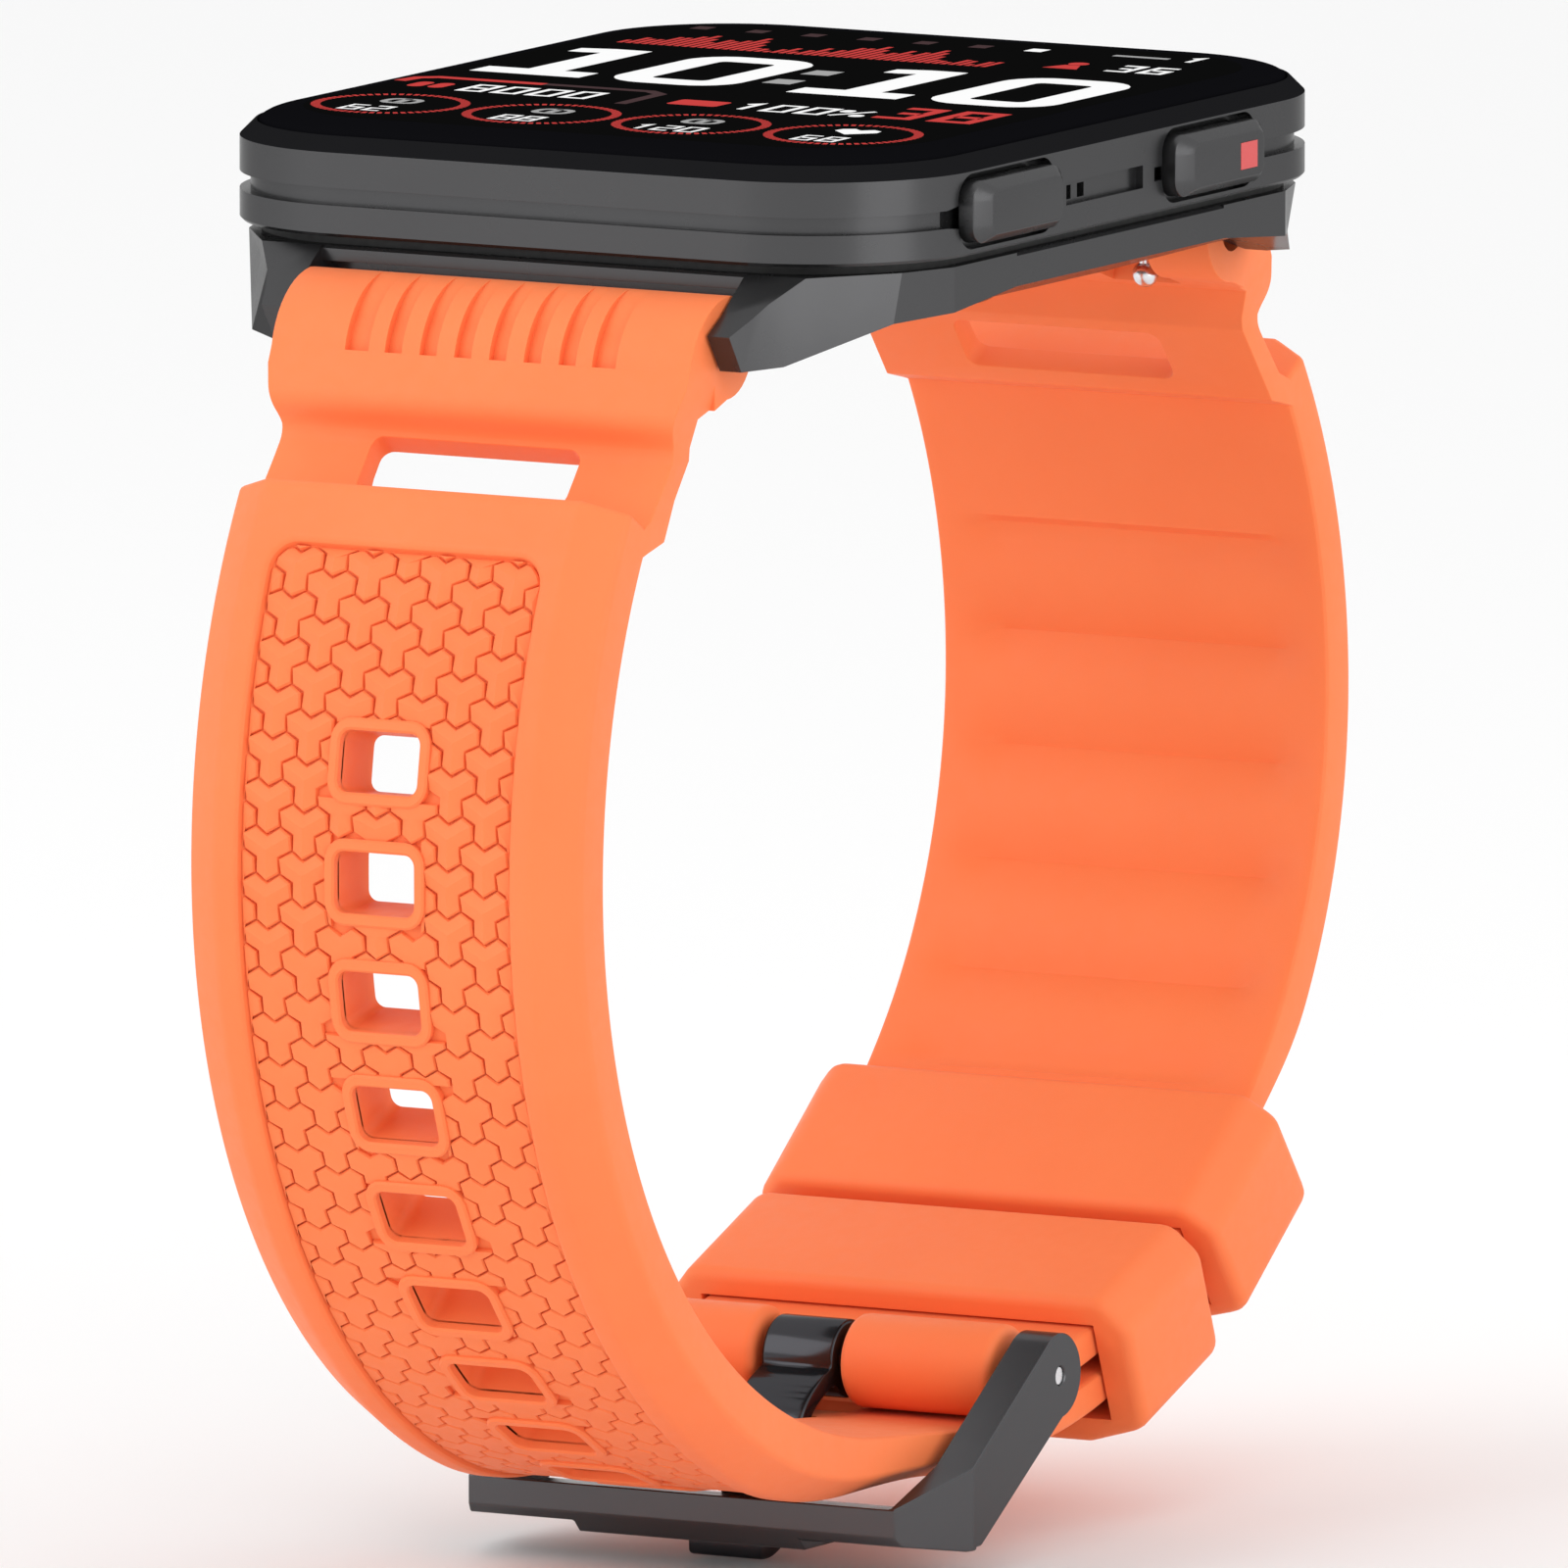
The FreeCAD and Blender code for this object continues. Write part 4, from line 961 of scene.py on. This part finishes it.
def bar_springs():
    """Copies of the springs of both spring bars, on the case body."""
    for end in ("front", "rear"):
        node, joint = end + "_bar_spring", end + "_bar_retract"
        low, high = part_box(node)
        coil = bpy.data.objects.new(node + "_coil", frame["nodes"][node].data.copy())
        bpy.context.scene.collection.objects.link(coil)
        finish_piece(coil, STEEL, "case", "bright_steel", node)
        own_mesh(coil)


def cover_glass():
    """Black cover glass with a curved shoulder, wider at 12 and 6 o'clock."""
    inset = GLASS_INSET
    bm = bmesh.new()
    rings = []
    levels = [(0.0, 0.0, GLASS_LOW), (0.0, 0.0, GLASS_EDGE)]
    steps = 10
    for i in range(1, steps + 1):
        a = math.radians(90 * i / steps)
        levels.append((1.3 * (1 - math.cos(a)), 2.4 * (1 - math.cos(a)),
                       GLASS_EDGE + (GLASS_TOP - GLASS_EDGE) * math.sin(a)))
    for gx, gy, z in levels:
        ring = rounded_rectangle(CASE_W / 2 - inset - gx, CASE_L / 2 - inset - gy, CASE_R - inset - gx, 14)
        rings.append([bm.verts.new((x, y, z)) for x, y in ring])
    count = len(rings[0])
    for low, high in zip(rings, rings[1:]):
        for i in range(count):
            j = (i + 1) % count
            bm.faces.new((low[i], low[j], high[j], high[i]))
    bm.faces.new(list(reversed(rings[0])))
    bm.faces.new(rings[-1])
    obj = smooth(scaled(make_object("display_glass", bm)), 40)
    finish_piece(obj, GLASS, "case", "cover_glass", "cover_glass")


# strokes of each digit on a field one wide and two high; True closes the stroke
DIGITS = {
    "0": [(((0, 0), (1, 0), (1, 2), (0, 2)), True)],
    "1": [(((0.15, 1.6), (0.6, 2), (0.6, 0)), False)],
    "2": [(((0, 2), (1, 2), (1, 1), (0, 1), (0, 0), (1, 0)), False)],
    "3": [(((0, 2), (1, 2), (1, 0), (0, 0)), False), (((0.25, 1), (0.9, 1)), False)],
    "6": [(((1, 2), (0, 2), (0, 0), (1, 0), (1, 1), (0, 1)), False)],
    "8": [(((0, 0), (1, 0), (1, 2), (0, 2)), True), (((0.1, 1), (0.9, 1)), False)],
}
INK_LOW, INK_HIGH = GLASS_TOP - 0.01, GLASS_TOP + 0.012


def ink_shape(bm, points):
    """Thin closed plate over a polygon on the glass."""
    low = [bm.verts.new((x, y, INK_LOW)) for x, y in points]
    high = [bm.verts.new((x, y, INK_HIGH)) for x, y in points]
    count = len(points)
    bm.faces.new(reversed(low))
    bm.faces.new(high)
    for i in range(count):
        j = (i + 1) % count
        bm.faces.new((low[i], low[j], high[j], high[i]))


def ink_box(bm, x0, x1, y0, y1):
    """Thin upright rectangle."""
    ink_shape(bm, [(x0, y0), (x1, y0), (x1, y1), (x0, y1)])


def ink_stroke(bm, points, width, closed=False):
    """Line of even width with mitred joints."""
    count = len(points)
    left, right = [], []
    for i, p in enumerate(points):
        here = Vector(p)
        before = Vector(points[i - 1]) if i or closed else None
        after = Vector(points[(i + 1) % count]) if i < count - 1 or closed else None
        one = (here - before).normalized() if before is not None else (after - here).normalized()
        two = (after - here).normalized() if after is not None else one
        normal = Vector((-(one.y + two.y), one.x + two.x)).normalized()
        reach = width / 2 / max(normal.dot(Vector((-one.y, one.x))), 0.35)
        left.append(here + normal * reach)
        right.append(here - normal * reach)
    for i in range(count if closed else count - 1):
        j = (i + 1) % count
        quad = [right[i], right[j], left[j], left[i]]
        ink_shape(bm, [(q.x, q.y) for q in quad])


def ink_number(bm, text, x, y, height, line):
    """Row of digits whose lower left corner is at (x, y)."""
    tall = height - line
    wide = tall * 0.5
    for digit in text:
        for stroke, closed in DIGITS[digit]:
            places = [(x + line / 2 + px * wide, y + line / 2 + py * tall / 2) for px, py in stroke]
            ink_stroke(bm, places, line, closed)
        x += wide + line * 2.3


def ink_ring(bm, x, y, inner, outer, ticks):
    """Ring of short radial ticks."""
    for k in range(ticks):
        a = math.tau * (k + 0.5) / ticks
        half = math.tau / ticks * 0.3
        corners = [(inner, a - half), (outer, a - half), (outer, a + half), (inner, a + half)]
        ink_shape(bm, [(x + r * math.cos(t), y + r * math.sin(t)) for r, t in corners])


def big_one(bm, x):
    """Large figure one: flag, stem and foot."""
    ink_box(bm, x + 2.1, x + 4.0, 0.2, 8.6)
    ink_shape(bm, [(x + 0.45, 6.9), (x + 1.2, 6.9), (x + 2.1, 7.1), (x + 2.1, 8.6), (x + 0.45, 8.2)])
    ink_box(bm, x, x + 5.8, -1.7, 0.2)


def big_zero(bm, x):
    """Large figure nought: an upright rounded loop."""
    ring = rounded_rectangle(2.35, 4.4, 1.3, 6, x + 3.2, 3.5)
    ink_stroke(bm, ring, 1.8, True)


def bar_heights(count):
    """Heights of the activity graph: a few peaks over a low base."""
    peaks = [(0.03, 2.6), (0.1, 3.6), (0.15, 4.6), (0.23, 3.6), (0.29, 4.6), (0.44, 2.2), (0.51, 2.7),
             (0.58, 3.6), (0.62, 4.6), (0.71, 3.7), (0.78, 4.7), (0.92, 2.4), (0.99, 2.4)]
    heights = []
    for k in range(count):
        place = k / (count - 1)
        peak = max(top - abs(place - at) * 52 for at, top in peaks)
        heights.append(max(peak, 0.7 + 0.4 * math.sin(k * 2.3)))
    return heights


def active_area():
    """Display area under the glass: flat black."""
    bm = bmesh.new()
    outline = rounded_rectangle(16.35, 19.8, 5.9, 12)
    low = [bm.verts.new((x, y, GLASS_TOP - 0.02)) for x, y in outline]
    high = [bm.verts.new((x, y, GLASS_TOP + 0.004)) for x, y in outline]
    bm.faces.new(reversed(low))
    bm.faces.new(high)
    for i in range(len(outline)):
        j = (i + 1) % len(outline)
        bm.faces.new((low[i], low[j], high[j], high[i]))
    finish_piece(scaled(make_object("display_area", bm)), DISPLAY_BLACK, "case", "display_black")


def display_graphics():
    """Generic watch face: clock figures, graph, counters and four dials, with no lettering."""
    white, grey, red, dim = bmesh.new(), bmesh.new(), bmesh.new(), bmesh.new()
    big_one(white, -15.25)
    big_zero(white, -8.35)
    big_one(white, 1.55)
    big_zero(white, 8.45)
    ink_box(grey, -1.1, 0.35, 4.5, 6.1)
    ink_box(grey, -1.1, 0.35, 0.8, 2.4)
    for k in range(7):
        x = -13.6 + 2.97 * k
        ink_box(white if k == 6 else dim, x - 0.45, x + 0.45, 17.2, 18.2)
    ink_box(grey, 8.3, 11.2, 17.5, 17.95)
    ink_number(white, "1", 11.9, 16.9, 1.9, 0.3)
    heights = bar_heights(46)
    for k, height in enumerate(heights):
        x = -14.5 + 0.43 * k
        ink_box(red, x, x + 0.27, 11.0, 11.0 + height)
    ink_shape(red, [(7.5, 12.2), (9.3, 12.2), (8.8, 13.5), (8.0, 13.5)])
    ink_shape(red, rounded_rectangle(0.5, 0.5, 0.5, 4, 8.4, 14.1))
    ink_number(white, "36", 10.5, 12.3, 2.4, 0.34)
    ink_stroke(red, [(-16.2, -6.6), (-16.0, -5.2), (-15.2, -4.6), (-9.6, -4.6)], 0.65)
    ink_stroke(dim, [(-9.6, -4.6), (-4.0, -4.6), (-3.1, -5.3), (-3.0, -9.3)], 0.6)
    for x in (-14.7, -13.6):
        ink_shape(red, rounded_rectangle(0.4, 0.9, 0.4, 4, x, -7.3))
    ink_number(white, "8000", -12.2, -8.6, 2.5, 0.32)
    ink_shape(red, rounded_rectangle(1.3, 0.9, 0.2, 2, 0.1, -7.35))
    ink_number(white, "100", 2.0, -8.6, 2.5, 0.32)
    for px, py in ((7.6, -6.7), (8.75, -8.0)):
        ink_shape(white, rounded_rectangle(0.35, 0.4, 0.3, 3, px, py))
    ink_stroke(white, [(7.5, -8.4), (8.85, -6.3)], 0.28)
    ink_number(red, "38", 9.3, -8.2, 4.1, 0.62)
    for x, text in ((-12.3, "62"), (-4.3, "88"), (3.6, "120"), (11.6, "68")):
        ink_ring(red, x, -14.4, 3.25, 3.7, 60)
        ink_number(white, text, x - 0.7 * len(text), -17.1, 1.8, 0.22)
    for x in (-12.3, -4.3, 3.6):
        ink_stroke(grey, rounded_rectangle(0.8, 0.7, 0.5, 4, x, -13.3), 0.35, True)
        ink_box(grey, x - 0.2, x + 0.2, -13.9, -12.5)
    heart = [(11.6, -14.3), (12.7, -13.2), (12.6, -12.6), (12.1, -12.3), (11.6, -12.75), (11.1, -12.3),
             (10.6, -12.6), (10.5, -13.2)]
    ink_shape(white, heart)
    inks = ((white, "white", (0.85, 0.85, 0.85)), (grey, "grey", (0.33, 0.33, 0.33)),
            (red, "red", (0.52, 0.05, 0.047)), (dim, "dim", (0.06, 0.035, 0.037)))
    for bm, name, colour in inks:
        ink = plain_material("ink_" + name, colour, 0.5, 0.0, 0.0, Specular_IOR_Level=0.0)
        finish_piece(scaled(make_object("face_" + name, bm)), ink, "case", "display_black")


LUG_INNER_X = 11.2
LUG_START_Y, LUG_END_Y = 16.0, 24.0
LUG_TOP_Z, LUG_TIP_Z = 6.5, 0.5
LUG_SLIMMING = 0.55
LUG_BORE_CLEAR = 0.8


def slimmer_lugs(obj):
    """Draws the lugs' outer sides in towards the strap, most of all at their tips; the bars' bores stay."""
    for vertex in obj.data.vertices:
        x, y, z = vertex.co
        out = abs(x) - LUG_INNER_X
        bore = math.hypot(abs(y) - BAR_Y, z - BAR_Z) < LUG_BORE_CLEAR
        if out > 0 and abs(y) > LUG_START_Y and not bore:
            depth = min(max((LUG_TOP_Z - z) / (LUG_TOP_Z - LUG_TIP_Z), 0), 1)
            share = LUG_SLIMMING * depth * eased(abs(y), LUG_START_Y, LUG_END_Y)
            vertex.co.x = math.copysign(LUG_INNER_X + out * (1 - share), x)


def case_shells():
    """Frame, back shell and buttons with small edge breaks; the frame's rim bevel is black."""
    rim_low = 8.84 * MM
    shells = (("middle_frame", "case", 0.08), ("rear_housing", "case", 0.12),
              ("upper_button", "upper_button", 0.16), ("lower_button", "lower_button", 0.16))
    for node, body, width in shells:
        obj = softened(node, width, 2, angle=20)
        if node == "rear_housing":
            slimmer_lugs(obj)
        obj = smooth(scaled(obj), 12)
        finish_piece(obj, CASE_METAL, body, "case_metal", node)
        if node == "middle_frame":
            obj.data.materials.append(RIM_BLACK)
            for face in obj.data.polygons:
                if face.center.z > rim_low:
                    face.material_index = 1


# ---- stage ----
def camera():
    """Long lens at the product view's angle, so lines stay parallel."""
    azimuth, elevation = math.radians(28.94), math.radians(7.90)
    right = Vector((math.cos(azimuth), math.sin(azimuth), 0))
    forward = Vector((-math.sin(azimuth) * math.cos(elevation), math.cos(azimuth) * math.cos(elevation),
                      -math.sin(elevation)))
    up = right.cross(forward)
    target = (right * 0.4545 - up * 22.45) * MM
    data = bpy.data.cameras.new("camera")
    data.sensor_width = 36
    data.lens = 1100
    width = 72.73 * MM
    distance = width * data.lens / data.sensor_width
    data.clip_start = 0.1
    data.clip_end = 100
    obj = bpy.data.objects.new("camera", data)
    bpy.context.scene.collection.objects.link(obj)
    obj.matrix_world = Matrix(((right.x, up.x, -forward.x, 0), (right.y, up.y, -forward.y, 0),
                               (right.z, up.z, -forward.z, 0), (0, 0, 0, 1)))
    obj.location = target - forward * distance
    bpy.context.scene.camera = obj


def area_light(name, place, size, power, target=(0, 0, -0.025)):
    """Soft box that faces the target."""
    data = bpy.data.lights.new(name, "AREA")
    data.shape = "RECTANGLE"
    data.size, data.size_y = size
    data.energy = power
    obj = bpy.data.objects.new(name, data)
    bpy.context.scene.collection.objects.link(obj)
    obj.location = place
    obj.rotation_euler = (Vector(target) - Vector(place)).to_track_quat("-Z", "Y").to_euler()
    obj.visible_camera = False


def studio():
    """Pale floor, white surroundings and soft boxes."""
    low = cad_box[0][2]
    bm = bmesh.new()
    reach, gap = 3.0, 0.0002
    signs = ((-1, -1), (1, -1), (1, 1), (-1, 1))
    bm.faces.new([bm.verts.new((x * reach, y * reach, low - gap)) for x, y in signs])
    floor = make_object("floor", bm)
    floor.data.materials.append(plain_material("floor_white", (0.9, 0.9, 0.9), 0.8))
    world = bpy.data.worlds.new("studio")
    bpy.context.scene.world = world
    world.use_nodes = True
    world.node_tree.nodes["Background"].inputs["Color"].default_value = (1, 1, 1, 1)
    world.node_tree.nodes["Background"].inputs["Strength"].default_value = 1.0
    area_light("key", (-0.35, -0.45, 0.25), (0.5, 0.5), 1.1)
    area_light("side", (0.55, -0.15, 0.1), (0.4, 0.6), 1.1)
    bpy.context.scene.view_settings.view_transform = "Standard"


dress_frame()
hole_strap()
buckle_strap()
keepers()
buckle()
bar_springs()
cover_glass()
active_area()
display_graphics()
case_shells()
camera()
studio()
